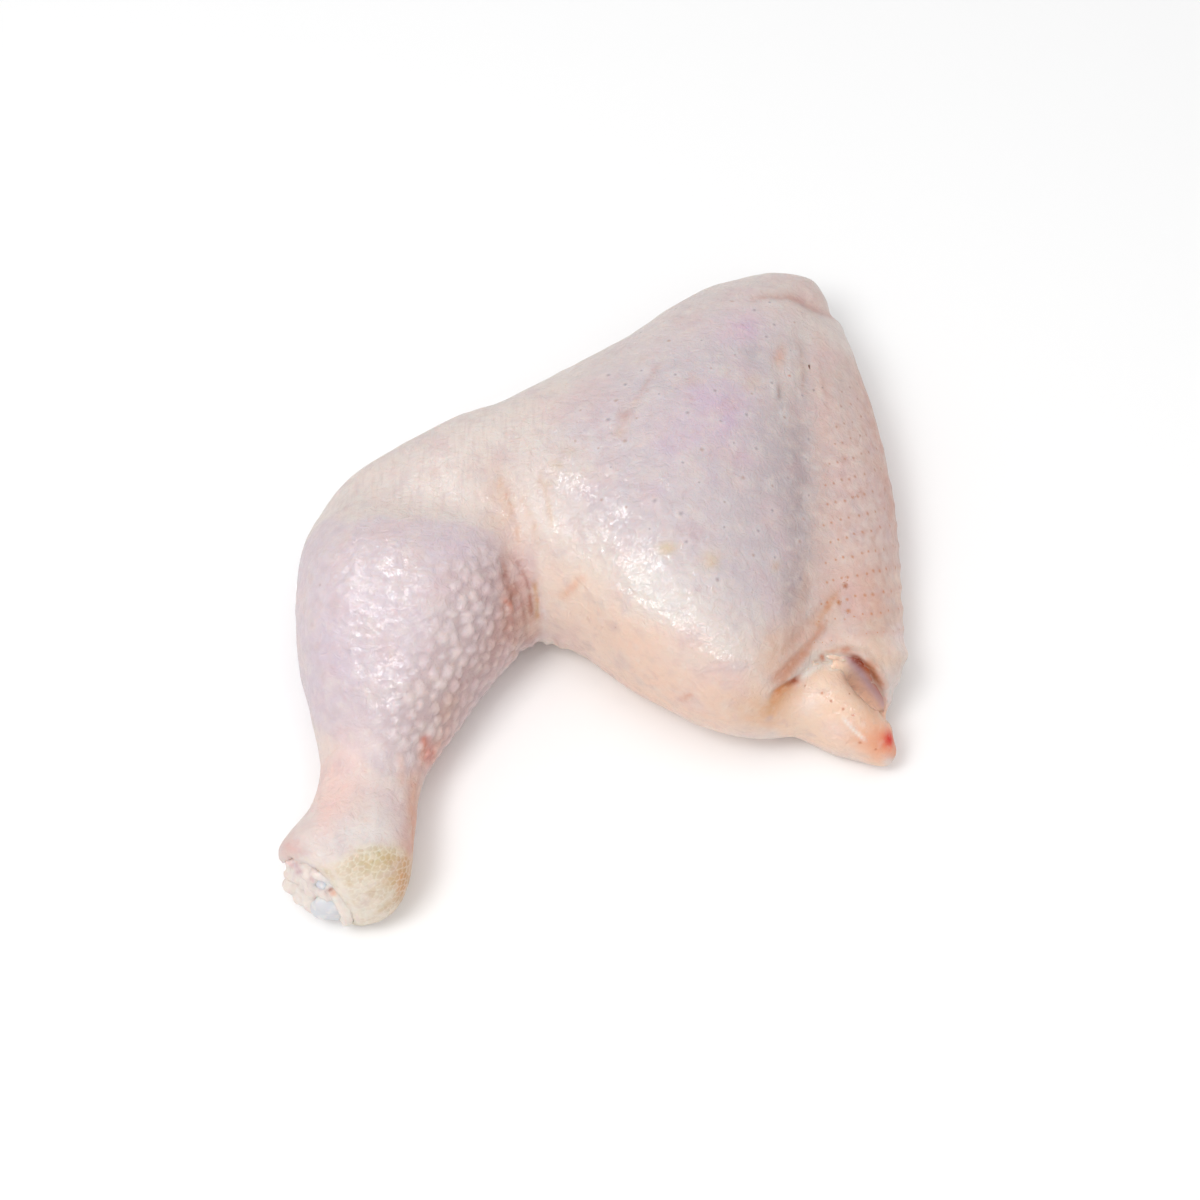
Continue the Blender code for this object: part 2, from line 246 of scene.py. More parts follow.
def ease(bm, rounds, verts=None):
    """Eases all of a surface, or only these vertices of it, a number of times."""
    for _ in range(rounds):
        bmesh.ops.smooth_vert(
            bm, verts=verts or bm.verts, factor=0.5, use_axis_x=True, use_axis_y=True, use_axis_z=True
        )


def away_from_cuts(bm):
    """The vertices that are clear of the slit and of the hock cut's edge."""
    verts = list(bm.verts)
    seen = seen_at(np.array([v.co for v in verts]))
    slit, _ = from_line(seen, SLIT_LINE)
    hock, _ = from_line(seen, HOCK_CUT_LINE)
    clear = (slit > SHARP_REACH) & (hock > SHARP_REACH)
    return [v for v, is_clear in zip(verts, clear) if is_clear]


ease(skin_bm, ROUNDS_ALL_OVER)
away = away_from_cuts(skin_bm)
ease(skin_bm, ROUNDS_AWAY_FROM_CUTS, away)
print("eased", len(away), "of", len(skin_bm.verts), "vertices the full number of times")

# %% Finer faces where the relief is fine
BUMPY_DRUMSTICK = (
    (300, 560), (400, 540), (500, 545), (545, 600), (530, 665), (470, 740), (420, 780), (330, 740),
    (300, 660),
)
BACK_STRIP = ((800, 380), (850, 350), (915, 480), (915, 650), (880, 660), (800, 650))
TAIL_END = ((760, 700), (800, 640), (915, 640), (915, 775), (860, 775))
WET_BAND = (
    (545, 470), (600, 455), (700, 520), (770, 610), (770, 675), (700, 680), (620, 625), (545, 575),
)
HOCK = ((300, 850), (345, 840), (380, 832), (425, 845), (425, 935), (340, 935), (318, 890))
UNDERSIDE_HEIGHT = 2 * MM


def divide(bm, outline):
    """Divides every face in an outline of the picture, but not the underside."""
    places = np.array([v.co for v in bm.verts])
    chosen = (area(seen_at(places), outline, 1) > 0.5) & (places[:, 2] > UNDERSIDE_HEIGHT)
    bm.verts.index_update()
    edges = [e for e in bm.edges if chosen[e.verts[0].index] and chosen[e.verts[1].index]]
    bmesh.ops.subdivide_edges(bm, edges=edges, cuts=1, use_grid_fill=True)


for outline in (BUMPY_DRUMSTICK, BACK_STRIP, TAIL_END, WET_BAND, HOCK, HOCK):
    divide(skin_bm, outline)
ease(skin_bm, 1)
bmesh.ops.recalc_face_normals(skin_bm, faces=skin_bm.faces)
print("with finer faces:", len(skin_bm.faces), "faces")


# %% Numbers of the skin to work on
def as_mesh(bm, name):
    """Keeps a bmesh as a smooth mesh of this name."""
    mesh = bpy.data.meshes.new(name)
    bm.to_mesh(mesh)
    bm.free()
    mesh.shade_smooth()
    return mesh


def places_of(mesh):
    """The mesh's places and the ways that it faces there."""
    places = np.zeros(len(mesh.vertices) * 3)
    normals = np.zeros(len(mesh.vertices) * 3)
    mesh.vertices.foreach_get("co", places)
    mesh.vertex_normals.foreach_get("vector", normals)
    return places.reshape(-1, 3), normals.reshape(-1, 3)


def raise_by(mesh, height):
    """Moves the surface out by a height for each of its places."""
    places, normals = places_of(mesh)
    mesh.vertices.foreach_set("co", (places + normals * height[:, None]).ravel())
    mesh.update()


def surface_tree(mesh):
    """A tree that finds where a ray meets a mesh."""
    corners = [Vector(place) for place in places_of(mesh)[0]]
    return BVHTree.FromPolygons(corners, [tuple(face.vertices) for face in mesh.polygons])


slit_bm = skin_bm.copy()
skin = as_mesh(skin_bm, "skin")
places, _ = places_of(skin)
seen = seen_at(places)
skin_tree = surface_tree(skin)
print("skin places:", len(places))

# %% [markdown]
# ## Creases and folds
# Loose skin folds where it is pushed together: in the bend behind the knee, round the
# root of the tail and under the hood of the back's skin. Each crease is a drawn line with
# a depth and a width, and a low lip on both sides, because the skin that goes down in the
# middle is pushed up beside it.

# %% Creases
CREASES = (
    # depth and half width in mm, then the line
    (0.55, 0.8, ((498, 556), (508, 582), (514, 602), (519, 630))),
    (0.50, 0.7, ((510, 548), (522, 566), (530, 584), (535, 604), (535, 626))),
    (0.35, 0.6, ((506, 566), (520, 592), (527, 612), (529, 634))),
    (0.40, 0.8, ((490, 566), (500, 590), (507, 612), (509, 645))),
    (0.45, 0.9, ((524, 560), (535, 578), (542, 600), (545, 622), (540, 642))),
    (0.60, 0.8, ((768, 702), (777, 692), (789, 684), (803, 676), (814, 668))),
    (-0.30, 0.6, ((798, 682), (808, 674), (818, 667), (826, 662))),
    (0.70, 1.0, ((804, 302), (818, 308), (831, 313), (846, 320), (862, 328))),
    (0.45, 1.0, ((768, 688), (788, 668), (799, 657), (812, 640))),
    (0.35, 1.0, ((790, 648), (803, 630), (818, 612), (838, 592))),
    (0.35, 0.9, ((806, 652), (818, 640), (830, 630), (846, 622))),
    (0.32, 1.0, ((742, 300), (766, 296), (788, 296), (800, 300), (811, 307), (824, 312))),
    (-0.22, 0.5, ((842, 716), (854, 728), (868, 743))),
    (-0.55, 0.9, ((812, 648), (832, 650), (848, 651), (862, 655), (876, 667), (888, 690), (892, 708))),
    (0.30, 1.2, ((770, 340), (778, 360), (781, 385), (780, 405))),
    (0.25, 1.0, ((803, 330), (808, 350), (809, 370), (806, 392))),
    (0.25, 1.0, ((355, 760), (362, 785), (366, 815), (364, 835))),
    (0.25, 0.9, ((392, 750), (396, 780), (398, 810))),
)
LIP_SHARE = 0.35
LIP_PLACE = 1.9
PIXEL = VIEW_DISTANCE / FOCAL_PIXELS


def crease(seen, depth, half_width, path):
    """A crease with its lips, as a height for each place."""
    gap, share = from_line(seen, path)
    away = gap * PIXEL / (half_width * MM)
    lips = LIP_SHARE * np.exp(-((away - LIP_PLACE) ** 2))
    return depth * MM * faded(share) * (lips - np.exp(-(away**2)))


relief = sum(crease(seen, *row) for row in CREASES)
print("deepest crease in mm:", round(-relief.min() / MM, 2))

# %% Bulges
BULGES = (
    # height in mm, middle and half size in pixels: first the roll at the far corner, then
    # the torn web behind the knee, and last the hood's edge and the skin under it
    (1.5, (814, 284), (20, 16)),
    (1.0, (562, 643), (5, 6)),
    (0.8, (530, 643), (5, 6)),
    (0.8, (547, 642), (4, 6)),
    (1.3, (903, 655), (9, 9)),
    (-0.6, (894, 692), (7, 8)),
    (0.5, (893, 722), (8, 9)),
)
for height, middle, half in BULGES:
    relief += height * MM * spot(seen, middle, half)
print("highest bulge in mm:", max(height for height, _, _ in BULGES))

# %% [markdown]
# ## Lumps of fat under the skin
# Skin over fat and muscle is never even. Three layers of noise lift it a little: broad
# lumps and smaller dimples all over, and, on the smooth wet parts, short wrinkles that
# break up the highlights.

# %% Lumps
LUMP_SIZE, LUMP_HEIGHT = 11 * MM, 0.35 * MM
DIMPLE_SIZE, DIMPLE_HEIGHT = 4.2 * MM, 0.18 * MM
FLAT_BELOW, LUMPY_ABOVE = 1 * MM, 4 * MM
lumps = LUMP_HEIGHT * bands_of_noise(places, LUMP_SIZE, 1)
dimples = DIMPLE_HEIGHT * bands_of_noise(places, DIMPLE_SIZE, 2)
relief += (lumps + dimples) * ramp(places[:, 2], FLAT_BELOW, LUMPY_ABOVE)
print("lumps in mm:", round(lumps.min() / MM, 2), "to", round(lumps.max() / MM, 2))

# %% Wrinkles
CRINKLE_SIZE, CRINKLE_HEIGHT = 2.6 * MM, 0.24 * MM
CRINKLE_STRETCH = np.array((0.7, 1, 1))
SMOOTH_DRUMSTICK = ((330, 540), (400, 530), (440, 560), (430, 650), (410, 730), (360, 740), (325, 640))
crinkly = np.maximum(area(seen, WET_BAND, 20), area(seen, SMOOTH_DRUMSTICK, 20))
crinkles = (1 - np.abs(bands_of_noise(places * CRINKLE_STRETCH, CRINKLE_SIZE, 3)) * 2) ** 2
relief += CRINKLE_HEIGHT * crinkly * crinkles
print("wrinkled share of the skin:", round(crinkly.mean(), 2))

# %% [markdown]
# ## Goosebumps
# Every feather leaves a follicle, and round it a small bump. They stand in even but
# never exact order. The script goes through the skin's places in a random order and
# keeps each one that is far enough from those kept before, which gives just that look.


# %% Scatter evenly
def scatter(chosen, spacing, seed):
    """Places of the skin that keep a distance from each other, as indices."""
    order = np.nonzero(chosen)[0]
    np.random.default_rng(seed).shuffle(order)
    cells = {}
    kept = []
    for i in order:
        place = places[i]
        cell = tuple((place / spacing).astype(int))
        near = (
            other
            for dx in (-1, 0, 1) for dy in (-1, 0, 1) for dz in (-1, 0, 1)
            for other in cells.get((cell[0] + dx, cell[1] + dy, cell[2] + dz), ())
        )
        if all(np.linalg.norm(place - places[other]) > spacing for other in near):
            cells.setdefault(cell, []).append(i)
            kept.append(i)
    return kept


def point_tree(points):
    """A tree that finds the nearest of these points."""
    tree = KDTree(len(points))
    for i, point in enumerate(points):
        tree.insert(point, i)
    tree.balance()
    return tree


def nearest_of(points, seekers=None):
    """For every place of the skin, the nearest of these points and how far it is."""
    tree = point_tree(points)
    found = [tree.find(place) for place in (places if seekers is None else seekers)]
    return np.array([f[1] for f in found]), np.array([f[2] for f in found])


above_underside = places[:, 2] > UNDERSIDE_HEIGHT
print("places above the underside:", above_underside.sum())

# %% Where the goosebumps are
DRUMSTICK_SKIN = (
    (290, 600), (300, 545), (325, 523), (370, 518), (430, 519), (480, 528), (506, 545), (524, 562),
    (540, 590), (546, 612), (540, 645), (505, 675), (480, 716), (455, 748), (430, 775), (395, 780),
    (350, 752), (312, 722), (296, 680),
)
BUMPY_SIDE = (
    (450, 570), (484, 550), (512, 575), (522, 620), (535, 655), (500, 680), (470, 730), (430, 775),
    (396, 750), (390, 715), (406, 685), (430, 655), (444, 615),
)
drumstick_share = area(seen, DRUMSTICK_SKIN, 9)
bumpy_share = area(seen, BUMPY_SIDE, 26)
BUMP_SPACING = 2.75 * MM
bump_places = scatter((drumstick_share > 0.3) & above_underside, BUMP_SPACING, 5)
print("goosebumps:", len(bump_places))

# %% Raise the goosebumps
WARP_SIZE, WARP_REACH = 1.6 * MM, 0.75 * MM
BUMP_STRETCH = np.array((1, 0.8, 0.85))
BUMP_RADIUS = 1.5 * MM
BUMP_HEIGHT_LOW, BUMP_HEIGHT_HIGH = 0.1 * MM, 0.62 * MM
warp = np.stack([bands_of_noise(places, WARP_SIZE, seed) for seed in (21, 22, 23)], axis=1)
nearest_bump, bump_gap = nearest_of(
    places[bump_places] * BUMP_STRETCH, (places + warp * WARP_REACH) * BUMP_STRETCH
)
bump_size = np.random.default_rng(2).uniform(0.75, 1.15, len(bump_places))[nearest_bump]
bump = np.clip(1 - (bump_gap / (BUMP_RADIUS * bump_size)) ** 2, 0, 1) * bump_size
bump_height = BUMP_HEIGHT_LOW + (BUMP_HEIGHT_HIGH - BUMP_HEIGHT_LOW) * bumpy_share
relief += drumstick_share * bump_height * (bump - 0.5)
print("highest goosebump in mm:", round((drumstick_share * bump_height * bump).max() / MM, 2))

# %% [markdown]
# ## Rows of feather holes on the back
# On the back's skin the follicles stand in rows across the strip, each a tiny reddish
# hole in a low mound. The rows rise to the right. They are walked pixel by pixel along a
# row and set on the skin behind each pixel. Where the skin turns away from the camera,
# the steps get shorter, as the picture foreshortens the distance between the holes.

# %% Feather holes
ROW_FIRST, ROW_LAST, ROW_STEP = 392, 648, 19.4
ROW_REACH, STRIP_END, STRIP_WIDTH = 140, 912, 80
HOLE_STEP = 9.2
ROW_RISES = (-0.42, -0.14)
LEAST_FACING = 0.85
ROW_LEFT = ((392, 838), (440, 826), (500, 822), (560, 824), (620, 818), (648, 812))
draw = random.Random(11)


def feather_rows():
    """Points on the skin in rows across the strip of back, and the rows' lines."""
    holes, rows = [], []
    row = ROW_FIRST
    while row < ROW_LAST:
        start = np.interp(row, *np.array(ROW_LEFT, float).T)
        rise = np.interp(row, (ROW_FIRST, ROW_LAST), ROW_RISES)
        rows.append(((start, row), (start + ROW_REACH, row + ROW_REACH * rise)))
        column = start + draw.uniform(0, HOLE_STEP)
        while column < STRIP_END:
            pixel = (column + draw.uniform(-1, 1), row + (column - start) * rise + draw.uniform(-1.3, 1.3))
            place, normal = behind_pixel(skin_tree, pixel)
            if place is None:
                break
            holes.append((place, row, (column - start) / STRIP_WIDTH))
            column += HOLE_STEP * draw.uniform(0.85, 1.2) * max(LEAST_FACING, normal.dot(to_eye))
        row += ROW_STEP * draw.uniform(0.92, 1.08)
    return holes, rows


row_holes, row_lines = feather_rows()
print("feather holes in rows:", len(row_holes))

# %% Raise the rows
MOUND_RADIUS, MOUND_HEIGHT = 1.1 * MM, 0.16 * MM
HOLE_RADIUS, HOLE_DEPTH = 0.42 * MM, 0.16 * MM
RIDGE_HEIGHT, RIDGE_HALF = 0.3 * MM, 4.5


def dome(gap, radius):
    """A soft dome round a point, for each distance from it."""
    return np.exp(-((gap / radius) ** 2))


_, row_gap = nearest_of([hole[0] for hole in row_holes])
strip_share = area(seen, BACK_STRIP, 14)
relief += strip_share * (MOUND_HEIGHT * dome(row_gap, MOUND_RADIUS) - HOLE_DEPTH * dome(row_gap, HOLE_RADIUS))
row_ridge = sum(dome(from_line(seen, row)[0], RIDGE_HALF) for row in row_lines)
row_ridge *= strip_share * ramp(seen[:, 0], 835, 885) * ramp(seen[:, 1], 420, 560)
relief += RIDGE_HEIGHT * row_ridge
print("ridges along", len(row_lines), "rows")

# %% [markdown]
# ## Pores on the thigh and the tail
# The thigh's follicles are far apart and nearly flat: a small dimple with a grey or
# brownish point. The scatter helper places them, with a wider spacing. The few larger
# points that the picture shows are set one by one.

# %% Pores
PORE_SPACING, PORES_KEPT = 5.6 * MM, 0.72
PORE_RADIUS, PORE_DEPTH = 0.8 * MM, 0.17 * MM
PORE_MOUND, MOUND_WIDTH = 0.3 * MM, 1.7 * MM
THIGH_SKIN = (
    (560, 420), (600, 360), (650, 320), (720, 290), (790, 300), (806, 380), (812, 500), (800, 590),
    (765, 610), (720, 600), (680, 570), (640, 530), (600, 500),
)
thigh_share = area(seen, THIGH_SKIN, 8)
pore_places = [
    places[i]
    for i in scatter((thigh_share > 0.5) & above_underside, PORE_SPACING, 8)
    if draw.random() < PORES_KEPT
]
_, pore_gap = nearest_of(pore_places)
pore_mound = thigh_share * dome(pore_gap, MOUND_WIDTH)
relief += PORE_MOUND * pore_mound
relief -= PORE_DEPTH * thigh_share * dome(pore_gap, PORE_RADIUS)
print("pores on the thigh:", len(pore_places))

# %% [markdown]
# ## The scaly hock
# Below the ankle the leg's skin turns into small horny scales, yellowish and slightly
# domed, with pale furrows between them. Scattered points give the scales' middles. Where
# a place is nearly as close to a second middle as to the first, it lies in a furrow.

# %% Where the scales are
SCALY_SKIN = (
    (318, 869), (330, 866), (344, 858), (357, 847), (368, 843), (379, 842), (391, 843), (402, 848),
    (412, 858), (416, 890), (406, 914), (392, 926), (374, 932), (348, 932), (346, 912), (338, 891),
    (328, 878),
)
WANDER_SIZE, WANDER_REACH = 6 * MM, 5
EDGE_FADE = 4
SCALE_SPACING = 1.08 * MM
wander = np.stack([bands_of_noise(places, WANDER_SIZE, seed) for seed in (4, 5)], axis=1)
wandering = seen + wander * WANDER_REACH
edge_gap, _ = from_line(seen, HOCK_CUT_LINE)
scaly_share = area(wandering, SCALY_SKIN, 4) * ramp(edge_gap, 0, EDGE_FADE)
scaly_places = (scaly_share > 0.02) & (places[:, 2] > UNDERSIDE_HEIGHT / 2)
scale_middles = [places[i] for i in scatter(scaly_places, SCALE_SPACING, 3)]
print("scales on the hock:", len(scale_middles))

# %% Furrows between the scales
SCALE_WARP, SCALE_HEIGHT = 0.3 * MM, 0.12 * MM
FURROW_WIDTH = 0.38
GOLDEN_STEP = 0.618
scale_tree = point_tree(scale_middles)
furrow_gap = np.full(len(places), 1.0)
scale_tone = np.zeros(len(places))
for i in np.nonzero(scaly_share > 0.005)[0]:
    (_, first, first_gap), (_, _, second_gap) = scale_tree.find_n(places[i] + warp[i] * SCALE_WARP, 2)
    furrow_gap[i] = (second_gap - first_gap) / MM
    scale_tone[i] = (first * GOLDEN_STEP) % 1
scale_top = ramp(furrow_gap, 0, FURROW_WIDTH) * scaly_share
relief += SCALE_HEIGHT * (scale_top - 0.5 * scaly_share)
print("places on scales:", (scale_top > 0.5).sum())

# %% Raise the relief
raise_by(skin, relief)
print("relief in mm:", round(relief.min() / MM, 2), "to", round(relief.max() / MM, 2))

# %% [markdown]
# ## The skin's colours
# Raw skin is cream where fat lies under it, lilac where dark muscle shows through, peach
# at the fat edges and red where a little blood has gathered. The colours are painted
# from the broadest area to the smallest spot, each mixed over the last. They are given as
# they look, 0 to 255, and turned into the linear values that light works with.


# %% Paint
LIGHT_LEVEL = 1.13


def linear(colour):
    """The colour of a surface that looks like this, 0 to 255, in the light of this scene."""
    c = np.array(colour, float) / 255
    return np.where(c <= 0.04045, c / 12.92, ((c + 0.055) / 1.055) ** 2.4) / LIGHT_LEVEL


def painted_all(points, colour):
    """One colour for every place."""
    return np.tile(linear(colour), (len(points), 1))


def painted(tint, layers):
    """Mixes colours over a surface, each by its share for each place."""
    for colour, share in layers:
        tint = tint + (linear(colour) - tint) * share[:, None]
    return tint


CREAM = (231, 217, 211)
tint = painted_all(places, CREAM)
print("cream in linear light:", linear(CREAM).round(2))

# %% [markdown]
# ### Broad areas
# The broadest colours follow what lies under the skin: dark muscle in the drumstick and
# the thigh, fat along the thigh's lower edge and in the tail, and horn at the hock.

# %% Outlines of the broad areas
THIGH_MUSCLE = (
    (560, 420), (600, 370), (660, 330), (720, 305), (775, 315), (800, 360), (808, 440), (808, 520),
    (800, 590), (780, 620), (740, 610), (700, 590), (640, 560), (590, 530), (560, 480),
)
THIGH_FAT = (
    (556, 574), (590, 582), (640, 606), (690, 638), (730, 668), (765, 696), (770, 725), (720, 735),
    (660, 715), (600, 680), (556, 650),
)
BACK_SKIN = (
    (815, 330), (850, 360), (880, 430), (900, 500), (912, 580), (912, 640), (880, 640), (820, 640),
    (806, 640), (812, 560), (816, 470), (810, 390),
)
TAIL_FAT = (
    (764, 706), (778, 694), (803, 678), (820, 665), (850, 668), (880, 700), (893, 712), (905, 745),
    (905, 770), (880, 770), (830, 752), (775, 732),
)
KNEE_BEND = (
    (504, 543), (514, 550), (524, 566), (533, 582), (540, 600), (543, 618), (538, 638), (520, 646),
    (508, 640), (500, 600), (500, 565),
)
AREAS = (
    # colour, share, softness in pixels, outline
    ((221, 206, 212), 0.95, 4, DRUMSTICK_SKIN),
    ((221, 200, 198), 0.7, 26, BUMPY_SIDE),
    ((214, 201, 205), 0.95, 34, THIGH_MUSCLE),
    ((247, 212, 191), 0.95, 16, THIGH_FAT),
    ((222, 194, 186), 0.9, 12, BACK_SKIN),
    ((248, 214, 190), 0.95, 7, TAIL_FAT),
    ((222, 203, 176), 0.9, 4, SCALY_SKIN),
    ((200, 160, 148), 0.7, 3.5, KNEE_BEND),
)
tint = painted(tint, (
    (colour, share * area(wandering, outline, soft)) for colour, share, soft, outline in AREAS
))
print("broad areas:", len(AREAS))

# %% [markdown]
# ### Patches
# Within the areas the colour changes in soft patches: pink blood, yellow fat and the
# blue-grey of muscle. Some patches are painted shade instead: grey down the valley
# beside the thigh and on the thigh's far slope, and brown below the fold at the tail's
# root and in the slit's upper end. Each patch is an oval. Its row gives its colour, its
# share, its middle, its half sizes and, where it lies askew, its turn in degrees. The
# broadest come first and the small ones over them, one part of the leg after the other.


# %% Broad patches
def with_patches(tint, seen, patches):
    """Paints patches over a surface whose places show here in the picture."""
    return painted(tint, (
        (colour, share * spot(seen, middle, half, *turn)) for colour, share, middle, half, *turn in patches
    ))


BROAD_PATCHES = (
    ((226, 212, 220), 0.7, (352, 590), (42, 34)), ((222, 190, 172), 0.8, (504, 515), (20, 50), -14),
    ((243, 219, 205), 0.85, (556, 585), (26, 48), -20), ((228, 182, 162), 0.8, (868, 604), (34, 48)),
    ((224, 196, 190), 0.6, (858, 520), (30, 60)), ((230, 226, 222), 0.6, (640, 590), (60, 34), 20),
    ((218, 202, 216), 0.6, (332, 665), (26, 44)), ((212, 195, 208), 0.6, (452, 546), (40, 13), 10),
    ((238, 206, 198), 0.8, (346, 778), (24, 44)), ((222, 206, 204), 0.7, (396, 790), (24, 46)),
    ((222, 214, 213), 0.8, (352, 838), (48, 20), -10), ((224, 186, 180), 0.8, (290, 848), (14, 16)),
    ((210, 156, 134), 0.75, (513, 602), (11, 46), 10), ((186, 162, 164), 0.6, (490, 598), (16, 46), 5),
    ((202, 156, 136), 0.6, (528, 606), (9, 34), 4), ((236, 212, 200), 0.6, (556, 630), (20, 12)),
    ((226, 198, 214), 0.7, (736, 328), (30, 14)), ((218, 190, 210), 0.7, (722, 408), (30, 30)),
    # Painted shade: the grey ovals at (772, 470), (799, 470) and (792, 590), down the valley.
    ((218, 196, 210), 0.5, (692, 436), (36, 30)), ((192, 176, 178), 0.6, (772, 470), (26, 90), 4),
    ((176, 158, 160), 0.8, (799, 470), (14, 120)), ((184, 160, 158), 0.7, (792, 590), (15, 50), 12),
    ((214, 186, 180), 0.7, (805, 296), (24, 16), 30), ((222, 208, 206), 0.6, (716, 300), (60, 14), -8),
    ((222, 196, 176), 0.8, (858, 638), (40, 22)),
)
tint = with_patches(tint, wandering, BROAD_PATCHES)
print("broad patches:", len(BROAD_PATCHES))

# %% Patches on the drumstick
DRUMSTICK_PATCHES = (
    ((196, 162, 156), 0.65, (468, 680), (14, 44), 32), ((186, 162, 168), 0.35, (484, 672), (12, 44), 34),
    ((204, 148, 130), 0.5, (500, 640), (12, 34), 20), ((206, 140, 118), 0.5, (438, 748), (8, 30), 36),
    ((222, 172, 142), 0.5, (450, 708), (10, 22), 30), ((246, 164, 118), 0.8, (430, 752), (9, 16), 20),
    ((230, 218, 226), 0.5, (398, 694), (14, 20)),
)
tint = with_patches(tint, wandering, DRUMSTICK_PATCHES)
print("patches on the drumstick:", len(DRUMSTICK_PATCHES))

# %% Patches round the knee
KNEE_PATCHES = (
    ((238, 224, 216), 0.5, (574, 470), (20, 18)), ((238, 226, 219), 0.6, (500, 424), (60, 24), -22),
    ((246, 226, 212), 0.6, (588, 650), (44, 14), 25), ((202, 150, 124), 0.6, (530, 626), (8, 14)),
    ((248, 224, 206), 0.7, (590, 590), (34, 34)), ((246, 220, 204), 0.7, (586, 632), (30, 16), 20),
    ((214, 184, 150), 0.5, (556, 465), (5, 5)), ((216, 190, 160), 0.5, (547, 482), (6, 4)),
    ((218, 186, 156), 0.4, (568, 450), (7, 5)),
)
tint = with_patches(tint, wandering, KNEE_PATCHES)
print("patches round the knee:", len(KNEE_PATCHES))

# %% Patches on the shank and the hock
HOCK_PATCHES = (
    ((246, 234, 224), 0.75, (350, 890), (28, 28)), ((248, 234, 222), 0.75, (378, 914), (26, 16)),
    ((208, 188, 142), 0.8, (376, 859), (30, 12), -18), ((216, 154, 104), 0.9, (404, 880), (12, 34)),
    ((238, 226, 214), 0.6, (352, 909), (20, 18)), ((246, 206, 198), 0.65, (328, 800), (16, 40), 10),
    ((242, 232, 226), 0.4, (365, 824), (22, 14)),
)
tint = with_patches(tint, wandering, HOCK_PATCHES)
print("patches on the shank and the hock:", len(HOCK_PATCHES))

# %% Patches on the tail and round the slit
TAIL_PATCHES = (
    ((240, 168, 130), 0.85, (874, 747), (26, 14), 22), ((240, 184, 148), 0.6, (870, 720), (16, 18), 30),
    ((242, 216, 200), 0.6, (850, 754), (18, 8), 20), ((236, 226, 214), 0.6, (826, 660), (14, 8)),
    ((242, 216, 202), 0.8, (892, 764), (8, 6)), ((200, 150, 150), 0.7, (899, 746), (4, 9)),
    ((240, 148, 108), 0.85, (886, 740), (14, 13)), ((236, 226, 220), 0.9, (890, 763), (6, 4)),
    ((176, 130, 140), 0.7, (900, 744), (3, 8)), ((228, 192, 166), 0.6, (884, 656), (24, 17)),
    # Painted shade: the first oval on this row, below the fold at the tail's root.
    ((226, 174, 140), 0.6, (772, 712), (10, 18), 35), ((228, 200, 184), 0.6, (742, 700), (34, 22), 10),
    # Painted shade: the dark first oval on this row, in the crevice at the slit's upper end.
    ((152, 60, 34), 0.9, (858, 660), (9, 4.5), 30), ((250, 232, 224), 0.55, (808, 704), (12, 14), 20),
    ((250, 224, 216), 0.45, (838, 730), (14, 9), 20), ((240, 200, 172), 0.55, (848, 707), (15, 12), 30),
    ((252, 232, 216), 0.3, (824, 684), (8, 7)), ((206, 182, 166), 0.35, (852, 694), (8, 5), 30),
    ((238, 208, 192), 0.5, (850, 640), (30, 10)), ((226, 180, 152), 0.7, (774, 655), (20, 30), 30),
    # Painted shade: the first oval on this row, below the fold at the tail's root.
    ((228, 184, 150), 0.7, (758, 712), (26, 16)), ((240, 164, 132), 0.6, (893, 754), (8, 8)),
    ((226, 112, 92), 0.7, (899, 737), (5, 14)), ((192, 108, 60), 0.9, (822, 659), (3, 5)),
    ((188, 104, 58), 0.9, (846, 652), (5, 3)), ((206, 150, 110), 0.7, (833, 650), (9, 3)),
    ((182, 112, 64), 0.8, (817, 664), (4, 2.5)),
)
tint = with_patches(tint, wandering, TAIL_PATCHES)
print("patches on the tail and round the slit:", len(TAIL_PATCHES))

# %% Patches in the valley and on the strip of back
BACK_PATCHES = (
    ((236, 222, 204), 0.8, (803, 371), (5, 6)), ((222, 168, 138), 0.8, (779, 357), (6, 10)),
    ((222, 206, 200), 0.6, (786, 385), (14, 26)), ((214, 168, 126), 0.5, (774, 566), (5, 6)),
    ((196, 188, 188), 0.4, (782, 408), (12, 14)), ((204, 188, 186), 0.5, (838, 385), (13, 36), -10),
    ((228, 206, 200), 0.45, (866, 530), (14, 24)), ((192, 170, 166), 0.4, (820, 510), (10, 60)),
)
tint = with_patches(tint, wandering, BACK_PATCHES)
print("patches in the valley and on the strip of back:", len(BACK_PATCHES))

# %% Patches on the thigh
THIGH_PATCHES = (
    ((224, 196, 148), 0.6, (667, 549), (9, 7)), ((222, 192, 148), 0.55, (711, 561), (8, 10)),
    ((220, 182, 140), 0.65, (620, 431), (6, 5)), ((214, 180, 208), 0.55, (744, 327), (13, 8), 10),
    ((208, 180, 210), 0.5, (728, 424), (9, 10)), ((218, 194, 214), 0.5, (702, 396), (17, 12), 10),
    ((214, 190, 208), 0.5, (664, 446), (16, 9), 10), ((212, 186, 206), 0.5, (742, 458), (18, 7), 10),
    ((210, 184, 198), 0.45, (720, 480), (14, 5), 20), ((214, 188, 204), 0.4, (656, 490), (9, 8)),
    # Painted shade: the grey first oval on this row, on the thigh's far slope.
    ((182, 172, 176), 0.45, (751, 356), (8, 15)), ((190, 184, 180), 0.4, (700, 455), (8, 7)),
    ((224, 202, 174), 0.5, (751, 383), (9, 7)), ((224, 216, 212), 0.5, (720, 372), (10, 8)),
    ((232, 216, 214), 0.4, (684, 335), (60, 16), -30), ((230, 212, 205), 0.7, (690, 660), (32, 18), 25),
    ((204, 162, 156), 0.75, (628, 417), (7, 7)),
)
tint = with_patches(tint, wandering, THIGH_PATCHES)
print("patches on the thigh:", len(THIGH_PATCHES))

